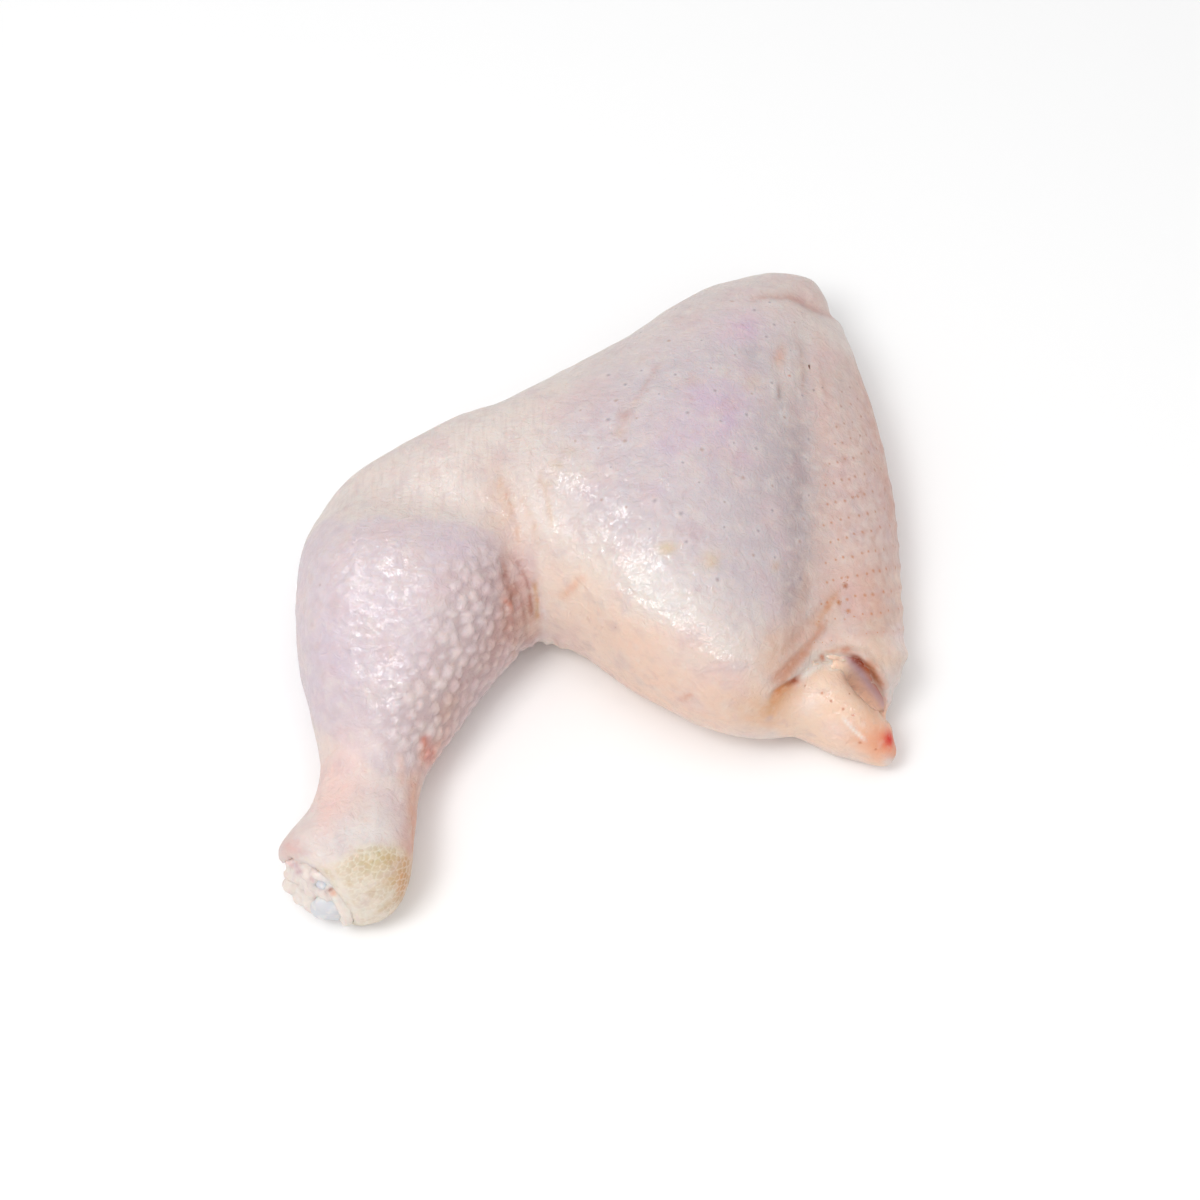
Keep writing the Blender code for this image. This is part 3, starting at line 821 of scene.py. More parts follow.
# %% [markdown]
# ### Lines
# Folds gather juice and lie in shade, so they show as thin lines of colour and painted
# shade, brown in the bend of the knee and at the tail, and pale where skin is stretched
# over an edge. Painted shade under the hood's rim and a painted highlight along a ridge
# of the tail are drawn as lines too. Each row gives a line's colour, its share, its half
# width in pixels and its path.


# %% Lines at the knee, on the drumstick and on the shank
def with_lines(tint, seen, lines):
    """Paints lines over a surface whose places show here in the picture."""
    return painted(tint, (
        (colour, share * line(seen, path, half_width)) for colour, share, half_width, path in lines
    ))


LEG_LINES = (
    ((152, 78, 52), 0.9, 3.0, ((500, 556), (508, 580), (514, 602), (517, 626))),
    ((176, 104, 72), 0.8, 2.0, ((512, 552), (524, 572), (530, 592), (531, 618))),
    ((160, 96, 70), 0.5, 2.6, ((529, 598), (531, 608), (530, 618))),
    ((198, 142, 84), 0.85, 2.0, ((530, 576), (535, 588), (537, 602), (537, 624))),
    ((190, 140, 100), 0.5, 2.0, ((512, 640), (514, 650), (510, 662))),
    ((210, 118, 84), 0.8, 3.0, ((502, 598), (510, 604), (514, 614))),
    ((212, 164, 134), 0.6, 2.5, ((494, 466), (508, 500), (516, 530), (520, 556))),
    ((218, 176, 148), 0.5, 2.2, ((518, 488), (532, 520), (541, 550))),
    ((222, 184, 150), 0.5, 2.5, ((538, 468), (548, 500), (553, 532))),
    ((240, 231, 220), 0.5, 3, HOCK_CUT_LINE),
    ((186, 128, 108), 0.65, 7, ((506, 572), (515, 595), (517, 615), (512, 640))),
    ((222, 112, 70), 0.95, 5, ((421, 734), (428, 744), (431, 754), (427, 764))),
    ((222, 160, 132), 0.8, 8, ((418, 762), (414, 790), (412, 830), (411, 870))),
    ((226, 182, 162), 0.5, 4, ((398, 750), (402, 768), (400, 790))),
    ((226, 158, 122), 0.4, 5, ((558, 600), (572, 588), (586, 574))),
)
tint = with_lines(tint, seen, LEG_LINES)
print("lines on the leg:", len(LEG_LINES))

# %% Lines on the thigh and the strip of back
BACK_LINES = (
    ((202, 148, 134), 0.6, 3.4, ((808, 304), (820, 309), (834, 316), (848, 323))),
    ((214, 146, 114), 0.6, 5.0, ((764, 690), (784, 670), (800, 656), (814, 638), (832, 612))),
    ((208, 152, 128), 0.5, 6.0, ((784, 656), (806, 628), (824, 608), (846, 586))),
    ((204, 162, 144), 0.5, 7.0, ((810, 560), (802, 600), (790, 640), (776, 668))),
    ((212, 158, 140), 0.7, 9, ((850, 345), (872, 410), (890, 500), (898, 560))),
    ((238, 206, 190), 0.85, 11, ((897, 560), (902, 600), (905, 655))),
    ((206, 150, 112), 0.7, 3, ((838, 590), (830, 604), (820, 618), (812, 634))),
    ((204, 172, 166), 0.45, 2.5, ((626, 420), (637, 400), (650, 378), (666, 356))),
    ((158, 124, 116), 0.6, 2.2, ((779, 382), (780, 391), (779, 401))),
    ((190, 170, 166), 0.5, 2.4, ((794, 336), (800, 350), (804, 364), (806, 384))),
    ((230, 218, 212), 0.5, 2.2, ((786, 350), (790, 366), (792, 392))),
    ((230, 218, 212), 0.5, 2.2, ((772, 362), (772, 380), (774, 402))),
    ((196, 158, 144), 0.5, 1.8, ((800, 350), (803, 372), (804, 396))),
    ((228, 210, 200), 0.5, 2.2, ((794, 344), (797, 370), (798, 404))),
    ((200, 162, 150), 0.45, 2.0, ((817, 356), (824, 384), (828, 416))),
    ((226, 206, 198), 0.5, 2.4, ((811, 346), (817, 376), (820, 410))),
    ((204, 150, 138), 0.6, 3.4, ((746, 300), (770, 296), (790, 297), (802, 302), (816, 311))),
    ((222, 140, 92), 0.9, 2.6, ((680, 701), (686, 697), (693, 692))),
)
tint = with_lines(tint, seen, BACK_LINES)
print("lines on the thigh and the strip of back:", len(BACK_LINES))

# %% Lines round the tail and the slit
TAIL_LINES = (
    # Painted shade: the first four lines, in and beside the fold at the tail's root.
    ((204, 110, 48), 1.0, 3.2, ((772, 699), (784, 688), (795, 681), (806, 675))),
    ((160, 66, 20), 1.0, 2.4, ((784, 688), (792, 683), (801, 678))),
    ((208, 146, 96), 0.8, 6.0, ((764, 716), (774, 702), (786, 690), (796, 684))),
    ((232, 184, 150), 0.5, 8.0, ((768, 718), (780, 706), (794, 694), (806, 684))),
    # Painted highlight: a thin pale line along a ridge of the tail.
    ((252, 242, 234), 0.85, 1.8, ((840, 714), (846, 721), (854, 730), (868, 743))),
    # Painted shade: a soft brown line on the tail beside the slit.
    ((216, 172, 144), 0.6, 5.5, ((838, 668), (849, 686), (861, 700), (873, 712), (882, 722))),
    ((238, 228, 218), 0.8, 2.2, ((798, 682), (808, 674), (818, 667), (826, 662))),
    ((254, 232, 222), 0.9, 13, ((892, 622), (900, 640), (905, 658))),
    ((202, 142, 112), 0.8, 5, ((774, 690), (789, 671), (803, 656), (815, 643))),
    # Painted shade: these two lines, dark in the crevice under the hood's rim and brown beside it.
    ((156, 70, 30), 1.0, 3.4, ((850, 657), (858, 659), (866, 664), (873, 673), (880, 684))),
    ((190, 124, 88), 0.85, 5.0, ((862, 658), (872, 668), (880, 680), (886, 690))),
    ((226, 214, 204), 0.8, 2.0, ((806, 668), (814, 664), (822, 661))),
)
tint = with_lines(tint, seen, TAIL_LINES)
print("lines round the tail and the slit:", len(TAIL_LINES))

# %% [markdown]
# ### The red spot on the tail's tip
# It lies where the skin turns away from the camera. An oval in the picture would be drawn
# out down the tail's side, so this spot is round about its place in space.

# %% Red spot
RED_SPOT, RED_REACH, RED = (890, 739), 1.8 * MM, (222, 30, 10)
red_middle, _ = behind_pixel(skin_tree, RED_SPOT)
red_gap = np.linalg.norm(places - np.array(red_middle), axis=1)
tint = painted(tint, [(RED, dome(red_gap, RED_REACH))])
print("mean colour of the skin:", tint.mean(axis=0).round(3))

# %% [markdown]
# ### Mottling, and the colours of the relief
# Fine clouds of colour lie over all but the scales, and only faintly over the tail. The
# tops of goosebumps get a painted light and the valleys between them a painted shade, and
# the low mound round each pore a painted highlight. Between the scales lie pale furrows.

# %% Mottling
MOTTLES = (
    # colour, share, size in mm, from and to on the noise
    ((222, 190, 194), 0.3, 9, 0.05, 0.5),
    ((236, 218, 206), 0.22, 5, 0.1, 0.5),
    ((200, 182, 188), 0.25, 3.5, 0.15, 0.6),
    ((238, 228, 220), 0.22, 2.4, 0.15, 0.6),
)
mottled = np.clip(1 - scaly_share - 0.8 * area(seen, TAIL_END, 10), 0, 1)
tint = painted(tint, (
    (colour, share * mottled * ramp(bands_of_noise(places, size * MM, 31 + number), low, high))
    for number, (colour, share, size, low, high) in enumerate(MOTTLES)
))
print("mottled share:", mottled.mean().round(2))


# %% Goosebumps and scales take colour too
def clouds_of(size, seed, low=0.1, high=0.5):
    """A share that comes and goes over the skin in clouds of this size in mm."""
    return ramp(bands_of_noise(places, size * MM, seed), low, high)


LIT_BUMP_TOP, SHADED_BUMP_VALLEY = (228, 214, 214), (178, 152, 154)
FURROW, SCALE = (242, 234, 218), (200, 178, 142)
PALE_HORN, BARE_HORN, BROWN_HORN = (238, 228, 214), (240, 232, 221), (206, 166, 110)
ROW_PINK, STRIP_BROWN, STRIP_PALE = (214, 168, 156), (206, 160, 144), (232, 212, 204)
PORE_RIM_HIGHLIGHT = (232, 224, 224)
bump_valley_shade = (1 - np.clip(bump, 0, 1)) ** 2
clear = 1 - 0.4 * spot(seen, (352, 900), (22, 24))
strip_skin = spot(seen, (868, 500), (44, 160), -8)
tint = painted(tint, (
    # Painted light on the goosebumps' tops, and on the next row painted shade in their valleys.
    (LIT_BUMP_TOP, 0.32 * drumstick_share * bump * (0.5 + 0.5 * bumpy_share)),
    (SHADED_BUMP_VALLEY, 0.42 * drumstick_share * (0.15 + 0.85 * bumpy_share) * bump_valley_shade),
    (FURROW, 0.6 * scaly_share * (1 - scale_top)),
    (SCALE, 0.45 * clear * scale_top * scale_tone),
    (PALE_HORN, 0.5 * scaly_share * clouds_of(2.6, 41, 0.05)),
    (BARE_HORN, 0.3 * spot(seen, (352, 912), (18, 14))),
    (BROWN_HORN, 0.3 * scaly_share * clouds_of(3.2, 42)),
    (ROW_PINK, 0.35 * row_ridge),
    (STRIP_BROWN, 0.42 * strip_skin * clouds_of(1.7, 43, 0)),
    (STRIP_PALE, 0.35 * strip_skin * clouds_of(2.1, 44, 0)),
    # Painted highlight round each pore, on its low mound.
    (PORE_RIM_HIGHLIGHT, 0.35 * pore_mound),
))
print("colours of the relief painted")

# %% [markdown]
# ## Points of colour
# A pore is smaller than the mesh's faces, so a colour stored in the mesh would blur it.
# Instead every place of the skin stores the way to its nearest pore. The material turns
# that into a round point, sharp at any size, that sits exactly in its dimple.

# %% Marks
PORE_GREY, PORE_BROWN = (172, 156, 162), (192, 160, 148)
GREY_SHARE = 0.7
HOLE_HIGH, HOLE_LOW = np.array((188, 146, 132)), np.array((212, 138, 88))
HOLES_FADE = (600, 640)
marks = []
for place in pore_places:
    grey = draw.random() < GREY_SHARE
    marks.append((Vector(place), draw.uniform(0.3, 0.66), PORE_GREY if grey else PORE_BROWN))
for place, row, way in row_holes:
    low = (row - ROW_FIRST) / (ROW_LAST - ROW_FIRST)
    colour = HOLE_HIGH + (HOLE_LOW - HOLE_HIGH) * low
    fade = np.interp(row, HOLES_FADE, (1, 0.5))
    marks.append((place, (0.4 + 0.2 * min(way, 1)) * draw.uniform(0.85, 1.1) * fade, colour))
print("pores and feather holes:", len(marks))

# %% Marks set one by one
HAND_MARKS = (
    # pixel, radius in mm, colour
    ((845, 586), 0.85, (176, 96, 36)), ((838, 603), 0.8, (190, 112, 46)),
    ((848, 611), 0.65, (202, 130, 72)), ((822, 693), 0.4, (206, 130, 96)),
    ((831, 701), 0.45, (200, 120, 88)), ((843, 709), 0.45, (200, 120, 88)),
    ((853, 715), 0.5, (204, 118, 84)), ((805, 686), 0.35, (190, 130, 100)),
    ((849, 694), 0.3, (190, 130, 100)), ((867, 704), 0.3, (190, 130, 100)),
    ((860, 743), 0.5, (206, 116, 80)), ((876, 750), 0.4, (208, 118, 84)),
    ((616, 628), 0.4, (196, 130, 96)), ((774, 566), 0.4, (206, 130, 80)),
    ((789, 376), 0.5, (206, 140, 120)), ((814, 390), 0.4, (150, 136, 138)),
    ((823, 387), 0.4, (150, 136, 138)), ((320, 585), 0.4, (190, 170, 170)),
)
HAND_CLEARANCE = 1.5 * MM
for pixel, radius, colour in HAND_MARKS:
    place, _ = behind_pixel(skin_tree, pixel)
    marks = [mark for mark in marks if (mark[0] - place).length > HAND_CLEARANCE]
    marks.append((place, radius, colour))
nearest_mark, mark_gap = nearest_of([mark[0] for mark in marks])
mark_way = (places - np.array([mark[0] for mark in marks])[nearest_mark]) / MM
mark_radius = np.array([mark[1] for mark in marks])[nearest_mark]
mark_colour = np.array([linear(mark[2]) for mark in marks])[nearest_mark]
print("all marks:", len(marks))

# %% [markdown]
# ## Wet and drier skin
# The film of juice lies in patches: thick where it ran together on the drumstick and low
# on the thigh, and thin elsewhere. Its thickness is one more number for each place.

# %% Wetness
WET_SPOTS = (
    # share, middle, half size and, where it isn't level, turn
    (1.1, (578, 482), (26, 12), 15), (1.0, (613, 520), (26, 13), -30),
    (0.7, (558, 548), (18, 24), 40), (0.8, (605, 556), (26, 24)),
    (0.8, (662, 572), (38, 26), 10), (0.8, (655, 614), (36, 20), 25),
    (1.0, (722, 648), (44, 18), 5), (0.9, (385, 575), (28, 42)),
    (0.9, (380, 640), (26, 42)), (1.0, (394, 688), (22, 30)),
    (0.7, (402, 708), (20, 20)), (0.5, (850, 720), (40, 30), 30),
    (0.3, (460, 650), (50, 80), 20), (0.2, (720, 430), (110, 120)),
)
DRY_SHARE = 0.25
patchy = ramp(bands_of_noise(places, 7 * MM, 51), -0.5, 0.1)
wetness = np.full(len(places), DRY_SHARE)
for share, middle, half, *turn in WET_SPOTS:
    wetness = np.maximum(wetness, DRY_SHARE + share * patchy * spot(seen, middle, half, *turn))
wetness *= 1 - 0.6 * area(seen, SCALY_SKIN, 8)
wetness *= 1 - 0.75 * spot(seen, (330, 868), (44, 26))
wetness *= 1 - 0.7 * spot(seen, (356, 778), (40, 34))
print("mean wetness:", wetness.mean().round(2))

# %% Where fine streaks run
KNEE = ((316, 512), (340, 478), (390, 438), (470, 408), (560, 400), (556, 500), (500, 520), (400, 514))
UPPER_VALLEY = ((756, 330), (790, 318), (822, 326), (850, 400), (840, 450), (770, 430))
UPPER_DRUMSTICK = (
    (305, 560), (312, 530), (370, 524), (430, 525), (500, 545), (510, 575), (430, 590), (340, 590),
)
steep_streaks = np.maximum(area(seen, KNEE, 26), area(seen, UPPER_VALLEY, 16))
level_streaks = area(seen, UPPER_DRUMSTICK, 14)
streaks = np.stack([steep_streaks, level_streaks, np.zeros(len(places))], axis=1)
print("streaky share:", streaks.mean(axis=0).round(2))


# %% Keep the numbers in the mesh
def keep_colour(mesh, name, colours):
    """Stores a colour for each place of a mesh."""
    attribute = mesh.color_attributes.new(name, "FLOAT_COLOR", "POINT")
    alpha = np.ones((len(colours), 1))
    attribute.data.foreach_set("color", np.hstack([colours, alpha]).ravel())


def keep_numbers(mesh, name, values):
    """Stores a number or a way for each place of a mesh."""
    kind, field = ("FLOAT", "value") if values.ndim == 1 else ("FLOAT_VECTOR", "vector")
    mesh.attributes.new(name, kind, "POINT").data.foreach_set(field, values.ravel())


keep_numbers(skin, "wetness", np.clip(wetness, 0, 1))
keep_colour(skin, "tint", np.clip(tint, 0, 1))
keep_colour(skin, "streaks", streaks)
keep_colour(skin, "mark_colour", mark_colour)
keep_numbers(skin, "mark_way", mark_way)
keep_numbers(skin, "mark_gap", mark_gap / MM)
keep_numbers(skin, "mark_radius", mark_radius)
print("kept in the mesh:", [attribute.name for attribute in skin.attributes])

# %% [markdown]
# ## The wet skin material
# Light goes a few millimetres into skin before it comes out again, reddest from deepest,
# which subsurface scattering gives. On top lies a film of juice: a coat, smoother than
# the skin under it. Small wrinkles in a bump map break its highlights into the white
# flecks that say wet.


# %% Node helpers
def node(tree, kind, **settings):
    """A node with its settings."""
    made = tree.nodes.new(kind)
    for name, value in settings.items():
        setattr(made, name, value)
    return made


def from_mesh(tree, name):
    """A node that reads what the mesh keeps under this name."""
    return node(tree, "ShaderNodeAttribute", attribute_name=name)


def noise_node(tree, where, size, detail=3.0, distortion=0.0, kind="FBM"):
    """Noise whose lumps are about this size in metres."""
    made = node(tree, "ShaderNodeTexNoise", noise_type=kind)
    made.inputs["Scale"].default_value = 1 / size
    made.inputs["Detail"].default_value = detail
    made.inputs["Distortion"].default_value = distortion
    tree.links.new(where, made.inputs["Vector"])
    return made.outputs["Fac"]


def remapped(tree, value, low, high, to_low, to_high):
    """A value's range stretched to another."""
    made = node(tree, "ShaderNodeMapRange", interpolation_type="SMOOTHSTEP")
    tree.links.new(value, made.inputs["Value"])
    for name, number in zip(("From Min", "From Max", "To Min", "To Max"), (low, high, to_low, to_high)):
        made.inputs[name].default_value = number
    return made.outputs["Result"]


def clouds(tree, where, size, low, high, share=1, detail=3, distortion=0):
    """A share that comes and goes in clouds: 0 up to low on the noise, full from high."""
    return remapped(tree, noise_node(tree, where, size, detail, distortion), low, high, 0, share)


print("helpers for noise and clouds are ready")


# %% More node helpers
def mixed(tree, share, first, second):
    """Two colours mixed by a share. Each is a socket or a colour as it looks."""
    made = node(tree, "ShaderNodeMix", data_type="RGBA")
    tree.links.new(share, made.inputs["Factor"])
    for colour, name in ((first, "A"), (second, "B")):
        socket = [s for s in made.inputs if s.name == name and s.type == "RGBA"][0]
        if isinstance(colour, tuple):
            socket.default_value = (*linear(colour), 1)
        else:
            tree.links.new(colour, socket)
    return [s for s in made.outputs if s.type == "RGBA"][0]


def coloured(tree, shader, share, first, second):
    """Gives a material two colours mixed by a share."""
    tree.links.new(mixed(tree, share, first, second), shader.inputs["Base Color"])


def calculated(tree, operation, first, second=0):
    """What a Math node makes of two values, each a socket or a number."""
    made = node(tree, "ShaderNodeMath", operation=operation)
    for value, socket in zip((first, second), made.inputs):
        if isinstance(value, (int, float)):
            socket.default_value = value
        else:
            tree.links.new(value, socket)
    return made.outputs[0]


def bumped(tree, shader, layers, to="Normal", start=None):
    """Bump from layers of height, each a socket and its height in metres."""
    normal = start
    for height, distance in layers:
        made = node(tree, "ShaderNodeBump")
        made.inputs["Strength"].default_value = 1
        made.inputs["Distance"].default_value = distance
        tree.links.new(height, made.inputs["Height"])
        if normal is not None:
            tree.links.new(normal, made.inputs["Normal"])
        normal = made.outputs["Normal"]
    tree.links.new(normal, shader.inputs[to])
    return normal


print("helpers for mixing, sums and bump are ready")


# %% Material of moist flesh
DULL_SPECULAR, JUICE_IOR = 0.12, 1.42
RED_REACHES_DEEPEST = (1.0, 0.42, 0.28)


def wet_material(name, roughness, coat, coat_roughness, depth, scattering):
    """A material for moist flesh, with its tree, its shader and its Object coordinates."""
    material = bpy.data.materials.new(name)
    material.use_nodes = True
    tree = material.node_tree
    shader = tree.nodes["Principled BSDF"]
    shader.inputs["Roughness"].default_value = roughness
    shader.inputs["Metallic"].default_value = 0
    shader.inputs["Specular IOR Level"].default_value = DULL_SPECULAR
    shader.inputs["Coat Weight"].default_value = coat
    shader.inputs["Coat Roughness"].default_value = coat_roughness
    shader.inputs["Coat IOR"].default_value = JUICE_IOR
    shader.inputs["Subsurface Weight"].default_value = scattering
    shader.inputs["Subsurface Scale"].default_value = depth
    shader.inputs["Subsurface Radius"].default_value = RED_REACHES_DEEPEST
    where = node(tree, "ShaderNodeTexCoord").outputs["Object"]
    return material, tree, shader, where


skin_material, tree, shader, where = wet_material(
    "wet_skin", roughness=0.46, coat=0.9, coat_roughness=0.1, depth=1.3 * MM, scattering=0.3
)
print("wet skin material with", len(tree.nodes), "nodes to start with")

# %% Colour of the skin, with speckles, blushes and streaks
PALE_SPECKLE, BLUSH, STREAK = (240, 226, 214), (210, 178, 176), (214, 194, 190)
STREAK_STRETCHES = (("X", (1, 0.13, 0.13)), ("Y", (0.13, 1, 1)))
speckle = clouds(tree, where, 1.7 * MM, 0.5, 0.72, share=0.18, detail=2)
colour = mixed(tree, speckle, from_mesh(tree, "tint").outputs["Color"], PALE_SPECKLE)
blush = clouds(tree, where, 3.2 * MM, 0.52, 0.78, share=0.3, distortion=0.6)
colour = mixed(tree, blush, colour, BLUSH)
split = node(tree, "ShaderNodeSeparateXYZ")
tree.links.new(from_mesh(tree, "streaks").outputs["Vector"], split.inputs[0])
for socket, stretch in STREAK_STRETCHES:
    squeeze = node(tree, "ShaderNodeMapping")
    squeeze.inputs["Scale"].default_value = stretch
    tree.links.new(where, squeeze.inputs["Vector"])
    along = squeeze.outputs["Vector"]
    drawn = clouds(tree, along, 0.9 * MM, 0.45, 0.68, share=0.36, detail=2, distortion=0.3)
    colour = mixed(tree, calculated(tree, "MULTIPLY", drawn, split.outputs[socket]), colour, STREAK)
print("colour nodes:", len(tree.nodes))

# %% Round points in the pores
radius = from_mesh(tree, "mark_radius").outputs["Fac"]
length = node(tree, "ShaderNodeVectorMath", operation="LENGTH")
tree.links.new(from_mesh(tree, "mark_way").outputs["Vector"], length.inputs[0])
ragged = remapped(tree, noise_node(tree, where, 0.5 * MM, 2), 0.3, 0.7, 0.85, 1.2)
ragged_length = calculated(tree, "MULTIPLY", length.outputs["Value"], ragged)
point = remapped(tree, calculated(tree, "DIVIDE", ragged_length, radius), -0.2, 1.4, 0.85, 0)
# The way to the nearest pore turns over halfway between two pores, and the blurred values
# there would draw a false point, so points show only near a real pore.
real_gap = calculated(tree, "DIVIDE", from_mesh(tree, "mark_gap").outputs["Fac"], radius)
real = remapped(tree, real_gap, 1.15, 1.4, 1, 0)
point = calculated(tree, "MULTIPLY", point, real)
colour = mixed(tree, point, colour, from_mesh(tree, "mark_colour").outputs["Color"])
tree.links.new(colour, shader.inputs["Base Color"])
print("with points:", len(tree.nodes))

# %% Fine relief and the film of juice
WISP_TURN, WISP_STRETCH, WISP_SIZE = 25, (1.8, 1, 1), 1.2 * MM
bumped(tree, shader, (
    (noise_node(tree, where, 2.4 * MM, 4, 1.2), 0.38 * MM),
    (noise_node(tree, where, 0.75 * MM, 3, 0.8), 0.1 * MM),
))
turned = node(tree, "ShaderNodeMapping", vector_type="TEXTURE")
turned.inputs["Rotation"].default_value = (0, 0, math.radians(WISP_TURN))
turned.inputs["Scale"].default_value = WISP_STRETCH
tree.links.new(where, turned.inputs["Vector"])
along_wisps = turned.outputs["Vector"]
bumped(tree, shader, (
    (noise_node(tree, along_wisps, 1.0 * MM, 2, 1.0, "RIDGED_MULTIFRACTAL"), 0.16 * MM),
    (noise_node(tree, where, 2.6 * MM, 1, 0.8), 0.42 * MM),
    (noise_node(tree, where, 6 * MM, 1, 0.8), 1.0 * MM),
), to="Coat Normal")
from_middle = calculated(tree, "SUBTRACT", noise_node(tree, along_wisps, WISP_SIZE, 3, 1.0), 0.5)
wisps = remapped(tree, calculated(tree, "ABSOLUTE", from_middle), 0.02, 0.09, 1, 0.3)
film = calculated(tree, "MULTIPLY", from_mesh(tree, "wetness").outputs["Fac"], wisps)
tree.links.new(film, shader.inputs["Coat Weight"])
print("wet skin nodes:", len(tree.nodes))


# %% Put the skin on the leg
def piece(name, mesh, material, slot, *stands_for):
    """A finished piece of the leg: it rides on the body and stands for its solids."""
    obj = put_in_scene(name, mesh)
    mesh.materials.clear()
    mesh.materials.append(material)
    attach(obj, "root")
    if stands_for:
        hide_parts(*stands_for)
    print(name, "faces:", len(mesh.polygons))


piece("skin", skin, skin_material, "wet_skin", "leg_quarter")

# %% [markdown]
# ## The cut hock
# At the lower end the shank was cut through the joint. The skin ends in a lip there, and
# in it lies white, frayed tissue round a knuckle of bluish gristle. Frayed tissue has no
# clear form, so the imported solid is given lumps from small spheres, and a voxel remesh
# grows them together as one soft surface.


# %% Grow lumps on a solid
def add_ball(bm, middle, half):
    """Adds a ball to a bmesh, squashed to its three half sizes."""
    shape = Matrix.Translation(middle) @ Matrix.Diagonal((*half, 1))
    bmesh.ops.create_icosphere(bm, subdivisions=2, radius=1, matrix=shape)


def grown(node_name, lumps, rounds):
    """A solid with lumps grown onto it. A lump is its middle and half sizes in mm."""
    bm = merged_copy(node_name)
    for x, y, z, *half in lumps:
        add_ball(bm, Vector((x, y, z)) * MM, Vector(half if len(half) == 3 else half * 3) * MM)
    bm = evenly(bm, LUMP_GRID)
    ease(bm, rounds)
    bmesh.ops.recalc_face_normals(bm, faces=bm.faces)
    return bm


LUMP_GRID = 0.4 * MM
TISSUE_LUMPS = (
    # middle and radius in mm
    (-66.4, -72.3, 17.0, 1.3), (-66.5, -72.9, 13.2, 1.7), (-65.2, -73.4, 9.2, 2.2),
    (-66.2, -72.8, 10.6, 1.6), (-63.4, -74.7, 7.6, 2.3), (-64.4, -74.2, 13.6, 1.7),
    (-61.4, -76.2, 14.8, 1.6), (-62.6, -75.4, 17.6, 1.3), (-60.6, -76.2, 8.6, 2.2),
    (-60.8, -76.4, 17.4, 1.3), (-57.9, -77.4, 16.0, 1.5), (-58.8, -77.4, 13.6, 1.7),
    (-56.6, -78.6, 17.0, 1.4), (-55.6, -79.6, 14.2, 1.5), (-60.4, -76.2, 20.2, 1.3),
    (-57.8, -76.9, 20.4, 1.4), (-54.0, -81.3, 9.8, 1.8), (-54.6, -80.6, 6.4, 1.9),
    (-57.2, -77.0, 19.2, 1.7), (-56.4, -78.0, 17.4, 1.7), (-55.8, -79.0, 15.6, 1.8),
    (-55.0, -80.1, 13.4, 1.8), (-54.2, -81.0, 11.4, 1.8), (-59.4, -76.4, 19.6, 1.3),
    (-58.2, -78.2, 13.0, 1.5), (-61.6, -76.2, 12.0, 2.0), (-66.6, -73.6, 8.6, 2.3),
    (-64.6, -75.0, 5.8, 2.3), (-61.6, -77.2, 6.2, 2.2), (-55.4, -77.6, 19.0, 1.4),
    (-54.6, -79.0, 16.4, 1.5), (-53.8, -80.3, 13.4, 1.6),
)
tissue = as_mesh(grown("hock_tissue", TISSUE_LUMPS, 14), "hock_tissue_frayed")
print("lumps of tissue:", len(TISSUE_LUMPS))

# %% Fray the tissue
FIBRE_STRETCH = np.array((1.6, 1.6, 0.35))
FIBRE_SIZE, FIBRE_HEIGHT = 1.5 * MM, 0.2 * MM
FRAY_SIZE, FRAY_HEIGHT = 2.2 * MM, 0.3 * MM
tissue_places, _ = places_of(tissue)
fibres = bands_of_noise(tissue_places * FIBRE_STRETCH, FIBRE_SIZE, 6)
raise_by(tissue, FIBRE_HEIGHT * fibres + FRAY_HEIGHT * bands_of_noise(tissue_places, FRAY_SIZE, 7))
print("fibres from", fibres.min().round(2), "to", fibres.max().round(2))

# %% Colours of the tissue
TISSUE_PATCHES = (
    ((214, 178, 186), 0.8, (295, 865), (6, 4), 20),
    ((196, 150, 160), 0.8, (299, 872), (3, 2.5)),
    ((210, 172, 176), 0.8, (312, 880), (3, 4)),
    ((224, 190, 182), 0.6, (288, 856), (6, 6)),
    ((206, 212, 220), 0.7, (322, 884), (7, 5)),
    ((150, 72, 52), 0.95, (330, 890), (4.5, 2), -20),
    ((228, 160, 130), 0.8, (334, 893), (4, 3), -20),
    ((238, 228, 216), 0.9, (350, 900), (14, 22)),
)
TISSUE_WHITE, TISSUE_PINK = (238, 225, 216), (226, 206, 204)
tissue_seen = seen_at(tissue_places)
tissue_tint = painted_all(tissue_places, TISSUE_WHITE)
tissue_tint = painted(tissue_tint, [(TISSUE_PINK, 0.5 * ramp(fibres, -0.1, 0.5))])
tissue_tint = with_patches(tissue_tint, tissue_seen, TISSUE_PATCHES)
keep_colour(tissue, "tint", tissue_tint)
print("mean colour of the tissue:", tissue_tint.mean(axis=0).round(2))

# %% Tissue material
TISSUE_CLOUD = (246, 240, 234)
tissue_material, tree, shader, where = wet_material(
    "white_tissue", roughness=0.45, coat=0.5, coat_roughness=0.12, depth=1.8 * MM, scattering=0.35
)
cloud = clouds(tree, where, 1.4 * MM, 0.45, 0.7, share=0.35, distortion=0.5)
coloured(tree, shader, cloud, from_mesh(tree, "tint").outputs["Color"], TISSUE_CLOUD)
fine = bumped(tree, shader, ((noise_node(tree, where, 0.6 * MM, 3, 0.8), 0.12 * MM),))
bumped(tree, shader, ((noise_node(tree, where, 1.3 * MM, 2, 1.0), 0.3 * MM),), to="Coat Normal", start=fine)
piece("frayed_tissue", tissue, tissue_material, "white_tissue", "hock_tissue")

# %% [markdown]
# ## The gristle knuckle
# Gristle is smooth, bluish and slightly see-through at its rim, so its surface is eased
# well, and it gets deeper scattering than the tissue and hardly any film of juice.

